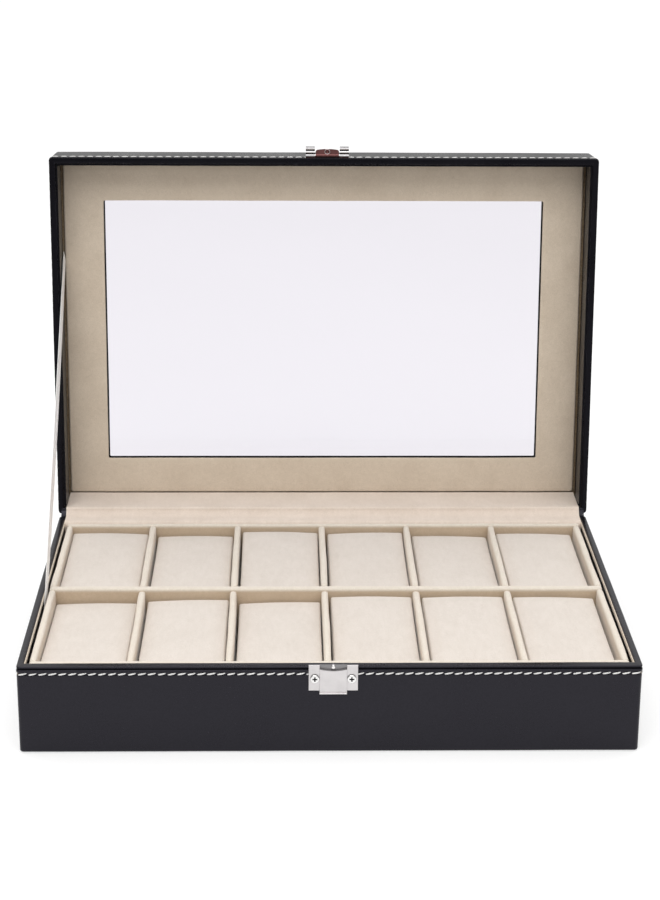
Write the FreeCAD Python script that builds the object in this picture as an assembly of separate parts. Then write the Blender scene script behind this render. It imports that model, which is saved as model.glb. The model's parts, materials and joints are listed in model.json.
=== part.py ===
import FreeCAD, Part
import math
import os

os.makedirs("parts", exist_ok=True)
Vector = FreeCAD.Vector

# Watch box for twelve watches, standing open. Millimetres, X to the right, Y to the back, Z up,
# origin at the middle of the underside.

# Overall size
BOX_WIDTH = 300.0
BOX_DEPTH = 202.0
BASE_HEIGHT = 45.5
LID_HEIGHT = 33.5
RIM_GAP = 0.5
OPEN_ANGLE = 95.0
LID_SIDE_OVER = 0.8

# Covering and boards
LEATHER = 0.7
BASE_BOARD = 2.1
LID_BOARD = 2.1
FLOOR_BOARD = 3.0
TOP_BOARD = 4.0
CORNER_RADIUS = 2.0
RIM_RADIUS = 1.8
FOOT_RADIUS = 0.5
BASE_TURN_IN = 12.0
UNDER_BORDER = 14.0
FELT_THICKNESS = 1.0
FELT_MARGIN = 0.3

# Tray
PAD_THICKNESS = 2.2
LINER_THICKNESS = 3.4
LINER_GAP = 2.0
FRONT_LINER_GAP = 1.2
DIVIDER_THICKNESS = 3.4
LONG_DIVIDER_THICKNESS = 4.5
DIVIDER_DROP = 0.2
VELVET_RADIUS = 1.5
PLACES = 6
DIVIDER_SHIFT = -1.0
RAIL_THICKNESS = 6.2
RAIL_HEIGHT = 20.0
RAIL_ROUND = 2.8
RAIL_EASE = 0.3
STRIP_THICKNESS = 0.5
STRIP_LIFT = 1.8
STRIP_FLAT = 8.0
BEND_STEPS = 5

# Pillows
PILLOW_LEFT_GAP = 1.1
PILLOW_RIGHT_GAP = 0.4
PILLOW_END_GAP = 1.15
PILLOW_BELOW = 3.4
PILLOW_DRAW = 0.5
PILLOW_CORNER = 2.0
PILLOW_FOOT_CORNER = 2.0
PILLOW_CROWN = 1.6
PILLOW_SAG = 0.6
PILLOW_END = 2.5
PILLOW_END_TURN = 75.0
PILLOW_END_STEPS = 4
PILLOW_MID_STEPS = 3
PILLOW_END_IN = 1.0
PILLOW_END_LIFT = 1.6
PILLOW_END_DROP = 1.6

# Lid window and lining
WINDOW_WIDTH = 247.0
WINDOW_DEPTH = 150.0
WINDOW_TURN_IN = 10.0
LID_BARE_EDGE = 1.1
GLASS_THICKNESS = 2.0
GLASS_LAP = 8.0
GLASS_PLAY = 0.2
LINING_FACE = 25.0
LINING_SIDE_GAP = 1.4
LINING_END_GAP = 2.9
WALL_LINING = 1.0
WALL_LINING_LOW = 1.5
WALL_LINING_HIGH = 16.0

# Hinges
HINGE_OFFSET = 0.8
HINGE_X = 95.0
HINGE_LENGTH = 28.0
HINGE_LEAF = 0.7
HINGE_LEAF_HEIGHT = 13.0
HINGE_BARREL_RADIUS = 1.4
HINGE_PIN_RADIUS = 0.7
HINGE_MIDDLE = 14.0
KNUCKLE_PLAY = 0.2
RUNNING_CLEARANCE = 0.05
LEAF_CLEARANCE = 0.25

# Screws
SCREW_HEAD_RADIUS = 2.2
SCREW_HEAD_HEIGHT = 0.9
SCREW_SHANK_RADIUS = 0.9
SCREW_CROSS_WIDTH = 0.7
SCREW_CROSS_LENGTH = 2.4
SCREW_CROSS_DEPTH = 0.6
HINGE_SCREW_RADIUS = 1.7
HINGE_SCREW_OUT = 8.5
HINGE_SCREW_DROP = 8.5
SCREW_STOP = 0.2

# Hasp
HASP_X = 1.4
KEEPER_WIDTH = 23.7
KEEPER_HEIGHT = 12.0
KEEPER_RISE = 1.2
KEEPER_WING = 1.6
KEEPER_FACE = 2.4
KEEPER_FLOOR = 0.6
KEEPER_TAB_WIDTH = 13.2
KEEPER_TAB_DROP = 13.3
KEEPER_LIP = 0.8
KEEPER_EDGE = 0.3
KEEPER_SMILE_DROP = 1.4
KEEPER_SMILE_RISE = 0.85
KEEPER_SCREW_X = 8.85
KEEPER_SCREW_DROP = 5.7
STUD_RADIUS = 0.95
STUD_LENGTH = 1.5
STUD_RISE = 0.4
HASP_AXIS_RISE = 1.9
HASP_AXIS_OUT = 1.4
HASP_EYE_RADIUS = 0.95
HASP_PIN_RADIUS = 0.5
HASP_PIN_HALF = 11.8
HASP_FLAP_WIDTH = 12.8
HASP_FLAP_THICKNESS = 0.8
HASP_FLAP_CLEARANCE = 0.35
HASP_FLAP_CORNER = 1.2
HASP_FLAP_BOW = 0.6
HASP_HOLE_RADIUS = 1.15
HASP_EAR_LENGTH = 5.0
HASP_EAR_RADIUS = 0.95
HASP_EAR_PITCH = 1.9
HASP_EAR_ROLLS = 3
HASP_PLATE = 0.8
HASP_PLATE_END = 12.5
HASP_PLATE_START = 2.9
HASP_SCREW_RISE = 8.5

# Ribbon
RIBBON_WIDTH = 10.0
RIBBON_THICKNESS = 0.5
RIBBON_RIM_Y = -8.7
RIBBON_LID_Y = -40.1
RIBBON_LID_RISE = 18.1
RIBBON_LOW_TAIL = 24.0
RIBBON_HIGH_TAIL = 4.5

# Heights and faces that follow from the sizes above
HALF_W = BOX_WIDTH / 2
HALF_D = BOX_DEPTH / 2
BASE_WALL = BASE_BOARD + 2 * LEATHER
LID_WALL = LID_BOARD + 2 * LEATHER
INNER_X = HALF_W - BASE_WALL
INNER_Y = HALF_D - BASE_WALL
LID_HALF_W = HALF_W + LID_SIDE_OVER
LID_INNER_X = LID_HALF_W - LID_WALL
LID_INNER_Y = HALF_D - LID_WALL
FLOOR_LOW = FELT_THICKNESS
FLOOR_TOP = FLOOR_LOW + FLOOR_BOARD
PAD_TOP = FLOOR_TOP + PAD_THICKNESS
DIVIDER_TOP = BASE_HEIGHT - DIVIDER_DROP
LID_RIM = BASE_HEIGHT + RIM_GAP
LID_TOP = LID_RIM + LID_HEIGHT
TOP_RAIL_LOW = LID_TOP - LEATHER - TOP_BOARD
LID_CEILING = TOP_RAIL_LOW - LEATHER
LINING_Z = LID_RIM + LINING_FACE
GLASS_LOW = LID_CEILING - GLASS_THICKNESS
LID_TURN_IN_TOP = LID_CEILING - LID_BARE_EDGE
AXIS_Y = HALF_D + HINGE_OFFSET
AXIS_Z = BASE_HEIGHT + RIM_GAP / 2
LINER_OUT_X = INNER_X - LINER_GAP
LINER_IN_X = LINER_OUT_X - LINER_THICKNESS
FRONT_LINER_OUT = -INNER_Y + FRONT_LINER_GAP
FRONT_LINER_IN = FRONT_LINER_OUT + LINER_THICKNESS
RAIL_FRONT = INNER_Y - RAIL_THICKNESS
BACK_LINER_OUT = RAIL_FRONT - STRIP_THICKNESS
BACK_LINER_IN = BACK_LINER_OUT - LINER_THICKNESS
PLACE_LENGTH = (BACK_LINER_IN - FRONT_LINER_IN - LONG_DIVIDER_THICKNESS) / 2
LONG_FRONT = FRONT_LINER_IN + PLACE_LENGTH
LONG_BACK = LONG_FRONT + LONG_DIVIDER_THICKNESS
PLACE_WIDTH = (2 * LINER_IN_X - (PLACES - 1) * DIVIDER_THICKNESS) / PLACES
PLACE_PITCH = PLACE_WIDTH + DIVIDER_THICKNESS
PILLOW_WIDTH = PLACE_WIDTH - PILLOW_LEFT_GAP - PILLOW_RIGHT_GAP
PILLOW_SHIFT = (PILLOW_LEFT_GAP - PILLOW_RIGHT_GAP) / 2
PILLOW_LENGTH = PLACE_LENGTH - 2 * PILLOW_END_GAP
PILLOW_TOP = DIVIDER_TOP - PILLOW_BELOW
KEEPER_TAB_LOW = BASE_HEIGHT - KEEPER_TAB_DROP
KEEPER_SMILE_LOW = BASE_HEIGHT - KEEPER_SMILE_DROP
KEEPER_SCREW_Z = BASE_HEIGHT - KEEPER_SCREW_DROP
STUD_Z = BASE_HEIGHT + STUD_RISE
KEEPER_TOP = BASE_HEIGHT + KEEPER_RISE
HASP_AXIS_Z = LID_RIM + HASP_AXIS_RISE
HASP_PLATE_LOW = LID_RIM + HASP_PLATE_START
HASP_PLATE_TOP = LID_RIM + HASP_PLATE_END
HASP_SCREW_Z = LID_RIM + HASP_SCREW_RISE
RIBBON_LID_Z = LID_RIM + RIBBON_LID_RISE
RIBBON_X = min(INNER_X, LID_INNER_X - WALL_LINING)
X_AXIS = Vector(1, 0, 0)
Y_AXIS = Vector(0, 1, 0)
Z_AXIS = Vector(0, 0, 1)
HASP_AXIS_Y = -HALF_D - HASP_AXIS_OUT


def block(x0, x1, y0, y1, z0, z1):
    return Part.makeBox(x1 - x0, y1 - y0, z1 - z0, Vector(x0, y0, z0))


def slab(half_x, half_y, z0, z1):
    return block(-half_x, half_x, -half_y, half_y, z0, z1)


def rod_x(radius, x0, x1, y, z):
    return Part.makeCylinder(radius, x1 - x0, Vector(x0, y, z), X_AXIS)


def rod_y(radius, y0, y1, x, z):
    return Part.makeCylinder(radius, y1 - y0, Vector(x, y0, z), Y_AXIS)


def joined(shapes):
    shape = shapes[0]
    for other in shapes[1:]:
        shape = shape.fuse(other)
    return shape.removeSplitter()


def without(shape, tools):
    for tool in tools:
        shape = shape.cut(tool)
    return shape


def edges_at(shape, height):
    return [e for e in shape.Edges if all(abs(v.Z - height) < 1e-6 for v in e.Vertexes)]


def edges_on_face(shape, y, lowest):
    # Edges in the upright plane at y that reach above the lowest height.
    flat = [e for e in shape.Edges if all(abs(v.Y - y) < 1e-6 for v in e.Vertexes)]
    return [e for e in flat if e.BoundBox.ZMax > lowest]


def rounded_case(half_x, z0, z1, low_radius, high_radius):
    case = slab(half_x, HALF_D, z0, z1)
    upright = [e for e in case.Edges if abs(e.BoundBox.ZLength - (z1 - z0)) < 1e-6]
    case = case.makeFillet(CORNER_RADIUS, upright)
    case = case.makeFillet(high_radius, edges_at(case, z1))
    return case.makeFillet(low_radius, edges_at(case, z0))


def velvet_board(x0, x1, y0, y1, z0, z1):
    board = block(x0, x1, y0, y1, z0, z1)
    return board.makeFillet(VELVET_RADIUS, edges_at(board, z1))


def strap(points, thickness, x0, x1):
    # A flat strip of even thickness along a bent line in the Y-Z plane, as wide as x0 to x1.
    sides = ([], [])
    for i, (y, z) in enumerate(points):
        before = points[max(i - 1, 0)]
        after = points[min(i + 1, len(points) - 1)]
        in_dir = Vector(0, y - before[0], z - before[1])
        out_dir = Vector(0, after[0] - y, after[1] - z)
        if in_dir.Length == 0:
            in_dir = out_dir
        if out_dir.Length == 0:
            out_dir = in_dir
        n_in = Vector(0, -in_dir.z, in_dir.y).normalize()
        n_out = Vector(0, -out_dir.z, out_dir.y).normalize()
        mitre = (n_in + n_out).normalize()
        reach = thickness / 2 / mitre.dot(n_in)
        for side, sign in zip(sides, (1, -1)):
            side.append(Vector(x0, y + sign * reach * mitre.y, z + sign * reach * mitre.z))
    outline = sides[0] + sides[1][::-1]
    face = Part.Face(Part.makePolygon(outline + outline[:1]))
    return face.extrude(Vector(x1 - x0, 0, 0))


def screw(x, z, y_face, outward, y_end, head_radius):
    # A pan-head screw along Y whose head sits on y_face; outward is -1 at the front, 1 at the back.
    head = rod_y(head_radius, 0, SCREW_HEAD_HEIGHT, 0, 0)
    crown = [e for e in head.Edges if e.BoundBox.YMin > SCREW_HEAD_HEIGHT / 2]
    head = head.makeFillet(SCREW_HEAD_HEIGHT / 2, crown)
    half_length = SCREW_CROSS_LENGTH / 2
    half_width = SCREW_CROSS_WIDTH / 2
    recess_low = SCREW_HEAD_HEIGHT - SCREW_CROSS_DEPTH
    across = block(-half_length, half_length, recess_low, SCREW_HEAD_HEIGHT, -half_width, half_width)
    upright = block(-half_width, half_width, recess_low, SCREW_HEAD_HEIGHT, -half_length, half_length)
    head = head.cut(across).cut(upright)
    shank = rod_y(SCREW_SHANK_RADIUS, -abs(y_face - y_end), 0, 0, 0)
    whole = head.fuse(shank).removeSplitter()
    if outward < 0:
        whole.rotate(Vector(0, 0, 0), Z_AXIS, 180)
    whole.translate(Vector(x, y_face, z))
    return whole


def screw_hole(x, z, y_face, y_end):
    return rod_y(SCREW_SHANK_RADIUS, min(y_face, y_end), max(y_face, y_end), x, z)


def open_lid(shape):
    turned = shape.copy()
    turned.rotate(Vector(0, AXIS_Y, AXIS_Z), X_AXIS, -OPEN_ANGLE)
    return turned


def save(name, shape):
    shape.exportStep("parts/" + name + ".step")


# Screw positions: (x, z, outer face, inner end)
BASE_BACK_END = HALF_D - LEATHER - BASE_BOARD + SCREW_STOP
LID_BACK_END = HALF_D - LEATHER - LID_BOARD + SCREW_STOP
LEAF_FACE = HALF_D + HINGE_LEAF
HINGE_CENTRES = (-HINGE_X, HINGE_X)
HINGE_SCREW_XS = [c + s * HINGE_SCREW_OUT for c in HINGE_CENTRES for s in (-1, 1)]
BASE_HINGE_SCREWS = [(x, AXIS_Z - HINGE_SCREW_DROP, LEAF_FACE, BASE_BACK_END) for x in HINGE_SCREW_XS]
LID_HINGE_SCREWS = [(x, AXIS_Z + HINGE_SCREW_DROP, LEAF_FACE, LID_BACK_END) for x in HINGE_SCREW_XS]
KEEPER_XS = (HASP_X - KEEPER_SCREW_X, HASP_X + KEEPER_SCREW_X)
KEEPER_SCREWS = [(x, KEEPER_SCREW_Z, -HALF_D - KEEPER_WING, -BASE_BACK_END) for x in KEEPER_XS]
HASP_SCREWS = [(x, HASP_SCREW_Z, -HALF_D - HASP_PLATE, -LID_BACK_END) for x in KEEPER_XS]


def base_carcass():
    out_x = HALF_W - LEATHER
    out_y = HALF_D - LEATHER
    in_x = out_x - BASE_BOARD
    in_y = out_y - BASE_BOARD
    top = BASE_HEIGHT - LEATHER
    boards = {
        "base_floor_panel": slab(out_x, out_y, FLOOR_LOW, FLOOR_TOP),
        "base_front_panel": block(-out_x, out_x, -out_y, -in_y, FLOOR_TOP, top),
        "base_back_panel": block(-out_x, out_x, in_y, out_y, FLOOR_TOP, top),
        "base_left_panel": block(-out_x, -in_x, -in_y, in_y, FLOOR_TOP, top),
        "base_right_panel": block(in_x, out_x, -in_y, in_y, FLOOR_TOP, top),
    }
    # The covering: outside, over the rim, down inside by the turn-in and under the floor's edge.
    wrap = rounded_case(HALF_W, FLOOR_LOW - LEATHER, BASE_HEIGHT, FOOT_RADIUS, RIM_RADIUS)
    wrap = wrap.cut(slab(INNER_X, INNER_Y, FLOOR_LOW, BASE_HEIGHT))
    wrap = wrap.cut(slab(in_x, in_y, FLOOR_LOW, BASE_HEIGHT - BASE_TURN_IN))
    wrap = wrap.cut(slab(HALF_W - UNDER_BORDER, HALF_D - UNDER_BORDER, 0, FLOOR_LOW))
    wrap = without(wrap, list(boards.values()))
    felt = slab(HALF_W - UNDER_BORDER - FELT_MARGIN, HALF_D - UNDER_BORDER - FELT_MARGIN, 0, FELT_THICKNESS)
    back_holes = [screw_hole(*s) for s in BASE_HINGE_SCREWS]
    front_holes = [screw_hole(*s) for s in KEEPER_SCREWS]
    boards["base_back_panel"] = without(boards["base_back_panel"], back_holes)
    boards["base_front_panel"] = without(boards["base_front_panel"], front_holes)
    boards["base_leather_wrap"] = without(wrap, back_holes + front_holes)
    boards["base_underside_felt"] = felt
    return boards


def tray():
    rail = block(-LINER_OUT_X, LINER_OUT_X, RAIL_FRONT, INNER_Y, BASE_HEIGHT - RAIL_HEIGHT, BASE_HEIGHT)
    top_front = [e for e in edges_at(rail, BASE_HEIGHT) if e.BoundBox.YMax < RAIL_FRONT + 1e-6]
    rail = rail.makeFillet(RAIL_ROUND + RAIL_EASE, top_front)
    side_liners = []
    for y0, y1 in ((FRONT_LINER_IN, LONG_FRONT), (LONG_BACK, BACK_LINER_IN)):
        side_liners.append(velvet_board(-LINER_OUT_X, -LINER_IN_X, y0, y1, PAD_TOP, DIVIDER_TOP))
        side_liners.append(velvet_board(LINER_IN_X, LINER_OUT_X, y0, y1, PAD_TOP, DIVIDER_TOP))
    full = (-LINER_OUT_X, LINER_OUT_X)
    nodes = {
        "base_hinge_rail": rail,
        "tray_floor_pad": slab(INNER_X, INNER_Y, FLOOR_TOP, PAD_TOP),
        "tray_front_liner": velvet_board(*full, FRONT_LINER_OUT, FRONT_LINER_IN, PAD_TOP, DIVIDER_TOP),
        "tray_back_liner": velvet_board(*full, BACK_LINER_IN, BACK_LINER_OUT, PAD_TOP, DIVIDER_TOP),
        "tray_side_liners": Part.makeCompound(side_liners),
        "long_divider": velvet_board(*full, LONG_FRONT, LONG_BACK, PAD_TOP, DIVIDER_TOP),
    }
    for i in range(PLACES - 1):
        x0 = -LINER_IN_X + (i + 1) * PLACE_PITCH - DIVIDER_THICKNESS + DIVIDER_SHIFT
        x1 = x0 + DIVIDER_THICKNESS
        front = velvet_board(x0, x1, FRONT_LINER_IN, LONG_FRONT, PAD_TOP, DIVIDER_TOP)
        rear = velvet_board(x0, x1, LONG_BACK, BACK_LINER_IN, PAD_TOP, DIVIDER_TOP)
        nodes["short_divider_front_%d" % (i + 1)] = front
        nodes["short_divider_rear_%d" % (i + 1)] = rear
    return nodes


def pillow_section(y, half_width, low, crown_top):
    # Closed outline across a pillow: flat foot, round corners, upright sides and an arched top.
    foot = PILLOW_FOOT_CORNER
    corner = PILLOW_CORNER
    shoulder = crown_top - PILLOW_CROWN
    bend = math.sqrt(0.5)
    a = Vector(-half_width + foot, y, low)
    b = Vector(half_width - foot, y, low)
    c = Vector(half_width, y, low + foot)
    d = Vector(half_width, y, shoulder - corner / 2)
    e = Vector(half_width - corner, y, shoulder + corner / 3)
    f = Vector(-half_width + corner, y, shoulder + corner / 3)
    g = Vector(-half_width, y, shoulder - corner / 2)
    h = Vector(-half_width, y, low + foot)
    foot_in = foot * (1 - bend)
    corner_x = corner * (1 - bend)
    corner_z = (corner / 2 + corner / 3) * bend
    right_foot = Vector(half_width - foot_in, y, low + foot_in)
    left_foot = Vector(-half_width + foot_in, y, low + foot_in)
    right_corner = Vector(half_width - corner_x, y, d.z + corner_z)
    left_corner = Vector(-half_width + corner_x, y, d.z + corner_z)
    edges = [
        Part.LineSegment(a, b).toShape(),
        Part.Arc(b, right_foot, c).toShape(),
        Part.LineSegment(c, d).toShape(),
        Part.Arc(d, right_corner, e).toShape(),
        Part.Arc(e, Vector(0, y, crown_top), f).toShape(),
        Part.Arc(f, left_corner, g).toShape(),
        Part.LineSegment(g, h).toShape(),
        Part.Arc(h, left_foot, a).toShape(),
    ]
    return Part.Wire(edges)


def pillow():
    # Crowned, with sides drawn in between the ends; each end narrows, lifts and drops along a quarter turn.
    half = PILLOW_LENGTH / 2
    straight = half - PILLOW_END
    rows = [(straight * k / PILLOW_MID_STEPS, 0.0) for k in range(PILLOW_MID_STEPS)]
    for k in range(PILLOW_END_STEPS + 1):
        angle = math.radians(PILLOW_END_TURN * k / PILLOW_END_STEPS)
        share = (1 - math.cos(angle)) / (1 - math.cos(math.radians(PILLOW_END_TURN)))
        reach = math.sin(angle) / math.sin(math.radians(PILLOW_END_TURN))
        rows.append((straight + PILLOW_END * reach, share))
    rows = [(-y, share) for y, share in rows[:0:-1]] + rows
    sections = []
    for y, share in rows:
        along = (y / half) ** 2
        width = PILLOW_WIDTH / 2 - PILLOW_DRAW * (1 - along) - PILLOW_END_IN * share
        low = PAD_TOP + PILLOW_END_LIFT * share
        top = PILLOW_TOP - PILLOW_SAG * along - PILLOW_END_DROP * share
        sections.append(pillow_section(y, width, low, top))
    return Part.makeLoft(sections, True, True)


def pillows():
    shape = pillow()
    nodes = {}
    rows = (("front", (FRONT_LINER_IN + LONG_FRONT) / 2), ("rear", (LONG_BACK + BACK_LINER_IN) / 2))
    for row, y in rows:
        for i in range(PLACES):
            x = -LINER_IN_X + PLACE_WIDTH / 2 + i * PLACE_PITCH + PILLOW_SHIFT + DIVIDER_SHIFT
            one = shape.copy()
            one.translate(Vector(x, y, 0))
            nodes["pillow_%s_%d" % (row, i + 1)] = one
    return nodes


def lid_carcass():
    out_x = LID_HALF_W - LEATHER
    out_y = HALF_D - LEATHER
    in_x = out_x - LID_BOARD
    in_y = out_y - LID_BOARD
    low = LID_RIM + LEATHER
    win_x = WINDOW_WIDTH / 2
    win_y = WINDOW_DEPTH / 2
    cut_x = win_x + LEATHER
    cut_y = win_y + LEATHER
    top = LID_TOP - LEATHER
    rails = [
        block(-out_x, out_x, -out_y, -cut_y, TOP_RAIL_LOW, top),
        block(-out_x, out_x, cut_y, out_y, TOP_RAIL_LOW, top),
        block(-out_x, -cut_x, -cut_y, cut_y, TOP_RAIL_LOW, top),
        block(cut_x, out_x, -cut_y, cut_y, TOP_RAIL_LOW, top),
    ]
    boards = {
        "lid_front_panel": block(-out_x, out_x, -out_y, -in_y, low, TOP_RAIL_LOW),
        "lid_back_panel": block(-out_x, out_x, in_y, out_y, low, TOP_RAIL_LOW),
        "lid_left_panel": block(-out_x, -in_x, -in_y, in_y, low, TOP_RAIL_LOW),
        "lid_right_panel": block(in_x, out_x, -in_y, in_y, low, TOP_RAIL_LOW),
    }
    # The covering: outside, over the rim, up inside, round the window's edge and back under the top.
    wrap = rounded_case(LID_HALF_W, LID_RIM, LID_TOP, RIM_RADIUS, RIM_RADIUS)
    wrap = wrap.cut(slab(LID_INNER_X, LID_INNER_Y, LID_RIM, LID_CEILING))
    wrap = wrap.cut(slab(win_x, win_y, LID_RIM, LID_TOP))
    bare = slab(in_x, in_y, LID_TURN_IN_TOP, TOP_RAIL_LOW)
    bare = bare.cut(slab(win_x + WINDOW_TURN_IN, win_y + WINDOW_TURN_IN, LID_RIM, LID_TOP))
    wrap = without(wrap.cut(bare), list(boards.values()) + rails)
    back_holes = [screw_hole(*s) for s in LID_HINGE_SCREWS]
    front_holes = [screw_hole(*s) for s in HASP_SCREWS]
    boards["lid_back_panel"] = without(boards["lid_back_panel"], back_holes)
    boards["lid_front_panel"] = without(boards["lid_front_panel"], front_holes)
    boards["lid_top_rails"] = Part.makeCompound(rails)
    boards["lid_leather_wrap"] = without(wrap, back_holes + front_holes)
    return boards


def lid_inside():
    win_x = WINDOW_WIDTH / 2
    win_y = WINDOW_DEPTH / 2
    glass = slab(win_x + GLASS_LAP, win_y + GLASS_LAP, GLASS_LOW, LID_CEILING)
    frame_x = LID_INNER_X - LINING_SIDE_GAP
    frame = slab(frame_x, LID_INNER_Y - LINING_END_GAP, LINING_Z, LID_CEILING)
    frame = frame.cut(slab(win_x, win_y, LINING_Z, LID_CEILING))
    rebate_x = win_x + GLASS_LAP + GLASS_PLAY
    rebate_y = win_y + GLASS_LAP + GLASS_PLAY
    frame = frame.cut(slab(rebate_x, rebate_y, GLASS_LOW, LID_CEILING))
    z0 = LID_RIM + WALL_LINING_LOW
    z1 = LID_RIM + WALL_LINING_HIGH
    side_in = LID_INNER_X - WALL_LINING
    front_in = LID_INNER_Y - WALL_LINING
    sides = [
        block(-LID_INNER_X, -side_in, -LID_INNER_Y, LID_INNER_Y - WALL_LINING, z0, z1),
        block(side_in, LID_INNER_X, -LID_INNER_Y, LID_INNER_Y - WALL_LINING, z0, z1),
    ]
    return {
        "lid_glass": glass,
        "lid_lining_frame": frame,
        "lid_front_lining": block(-side_in, side_in, -LID_INNER_Y, -front_in, z0, z1),
        "lid_side_linings": Part.makeCompound(sides),
    }


def hinge_leaf(centre, zones, direction, bore):
    # A flat leaf behind the back wall, with a barrel over each of its own zones along the pin.
    half = HINGE_LENGTH / 2
    near = HINGE_BARREL_RADIUS + LEAF_CLEARANCE
    far = near + HINGE_LEAF_HEIGHT
    z_near = AXIS_Z + direction * near
    z_far = AXIS_Z + direction * far
    plate = block(centre - half, centre + half, HALF_D, LEAF_FACE, min(z_near, z_far), max(z_near, z_far))
    pieces = [plate]
    for x0, x1 in zones:
        neck = block(centre + x0, centre + x1, HALF_D, LEAF_FACE, min(z_near, AXIS_Z), max(z_near, AXIS_Z))
        pieces.append(neck)
        pieces.append(rod_x(HINGE_BARREL_RADIUS, centre + x0, centre + x1, AXIS_Y, AXIS_Z))
    leaf = joined(pieces)
    return leaf.cut(rod_x(bore, centre - half, centre + half, AXIS_Y, AXIS_Z))


def hinges():
    half = HINGE_LENGTH / 2
    middle = HINGE_MIDDLE / 2
    base_zones = ((-half, -middle - KNUCKLE_PLAY), (middle + KNUCKLE_PLAY, half))
    lid_zones = ((-middle, middle),)
    base_leaves = [hinge_leaf(c, base_zones, -1, HINGE_PIN_RADIUS) for c in HINGE_CENTRES]
    lid_bore = HINGE_PIN_RADIUS + RUNNING_CLEARANCE
    lid_leaves = [hinge_leaf(c, lid_zones, 1, lid_bore) for c in HINGE_CENTRES]
    base_leaves = [without(leaf, [screw_hole(*s) for s in BASE_HINGE_SCREWS]) for leaf in base_leaves]
    lid_leaves = [without(leaf, [screw_hole(*s) for s in LID_HINGE_SCREWS]) for leaf in lid_leaves]
    pins = [rod_x(HINGE_PIN_RADIUS, c - half, c + half, AXIS_Y, AXIS_Z) for c in HINGE_CENTRES]
    base_screws = [screw(x, z, face, 1, end, HINGE_SCREW_RADIUS) for x, z, face, end in BASE_HINGE_SCREWS]
    lid_screws = [screw(x, z, face, 1, end, HINGE_SCREW_RADIUS) for x, z, face, end in LID_HINGE_SCREWS]
    base = {
        "hinge_base_leaves": Part.makeCompound(base_leaves),
        "hinge_pins": Part.makeCompound(pins),
        "hinge_base_screws": Part.makeCompound(base_screws),
    }
    lid = {
        "hinge_lid_leaves": Part.makeCompound(lid_leaves),
        "hinge_lid_screws": Part.makeCompound(lid_screws),
    }
    return base, lid


def smile(half_width, low, rise, top, y0, y1):
    # Upright prism along Y whose lower edge is an arc that hangs lowest in the middle.
    left = Vector(HASP_X - half_width, y0, low + rise)
    right = Vector(HASP_X + half_width, y0, low + rise)
    corner_r = Vector(right.x, y0, top)
    corner_l = Vector(left.x, y0, top)
    edges = [
        Part.Arc(left, Vector(HASP_X, y0, low), right).toShape(),
        Part.LineSegment(right, corner_r).toShape(),
        Part.LineSegment(corner_r, corner_l).toShape(),
        Part.LineSegment(corner_l, left).toShape(),
    ]
    return Part.Face(Part.Wire(edges)).extrude(Vector(0, y1 - y0, 0))


def keeper():
    wing = KEEPER_WIDTH / 2
    tab = KEEPER_TAB_WIDTH / 2
    face = -HALF_D
    wing_low = BASE_HEIGHT - KEEPER_HEIGHT
    top = KEEPER_TOP
    wing_out = face - KEEPER_WING
    tab_out = face - KEEPER_FACE
    wings = block(HASP_X - wing, HASP_X + wing, wing_out, face, wing_low, top)
    wings = wings.makeFillet(KEEPER_EDGE, edges_on_face(wings, wing_out, 0))
    middle = block(HASP_X - tab, HASP_X + tab, tab_out, face, KEEPER_TAB_LOW, top)
    middle = middle.makeFillet(KEEPER_EDGE, edges_on_face(middle, tab_out, KEEPER_TAB_LOW + KEEPER_LIP))
    lip_top = KEEPER_TAB_LOW + KEEPER_LIP
    lip_out = tab_out - KEEPER_LIP
    lip = block(HASP_X - tab, HASP_X + tab, lip_out, tab_out, KEEPER_TAB_LOW, lip_top)
    lip = lip.makeFillet(KEEPER_EDGE, edges_on_face(lip, lip_out, 0))
    plate = joined([wings, middle, lip])
    pocket_floor = face - KEEPER_FLOOR
    pocket = smile(tab, KEEPER_SMILE_LOW, KEEPER_SMILE_RISE, top + 1, lip_out, pocket_floor)
    plate = plate.cut(pocket)
    stud_out = pocket_floor - STUD_LENGTH
    stud = rod_y(STUD_RADIUS, stud_out, face, HASP_X, STUD_Z)
    stud = stud.makeFillet(STUD_RADIUS * 0.6, [e for e in stud.Edges if e.BoundBox.YMax < stud_out + 1e-6])
    plate = plate.cut(rod_y(STUD_RADIUS, pocket_floor, face, HASP_X, STUD_Z))
    plate = without(plate, [screw_hole(*s) for s in KEEPER_SCREWS])
    screws = [screw(x, z, y, -1, end, SCREW_HEAD_RADIUS) for x, z, y, end in KEEPER_SCREWS]
    return {"keeper_plate": plate, "keeper_stud": stud, "keeper_screws": Part.makeCompound(screws)}


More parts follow.
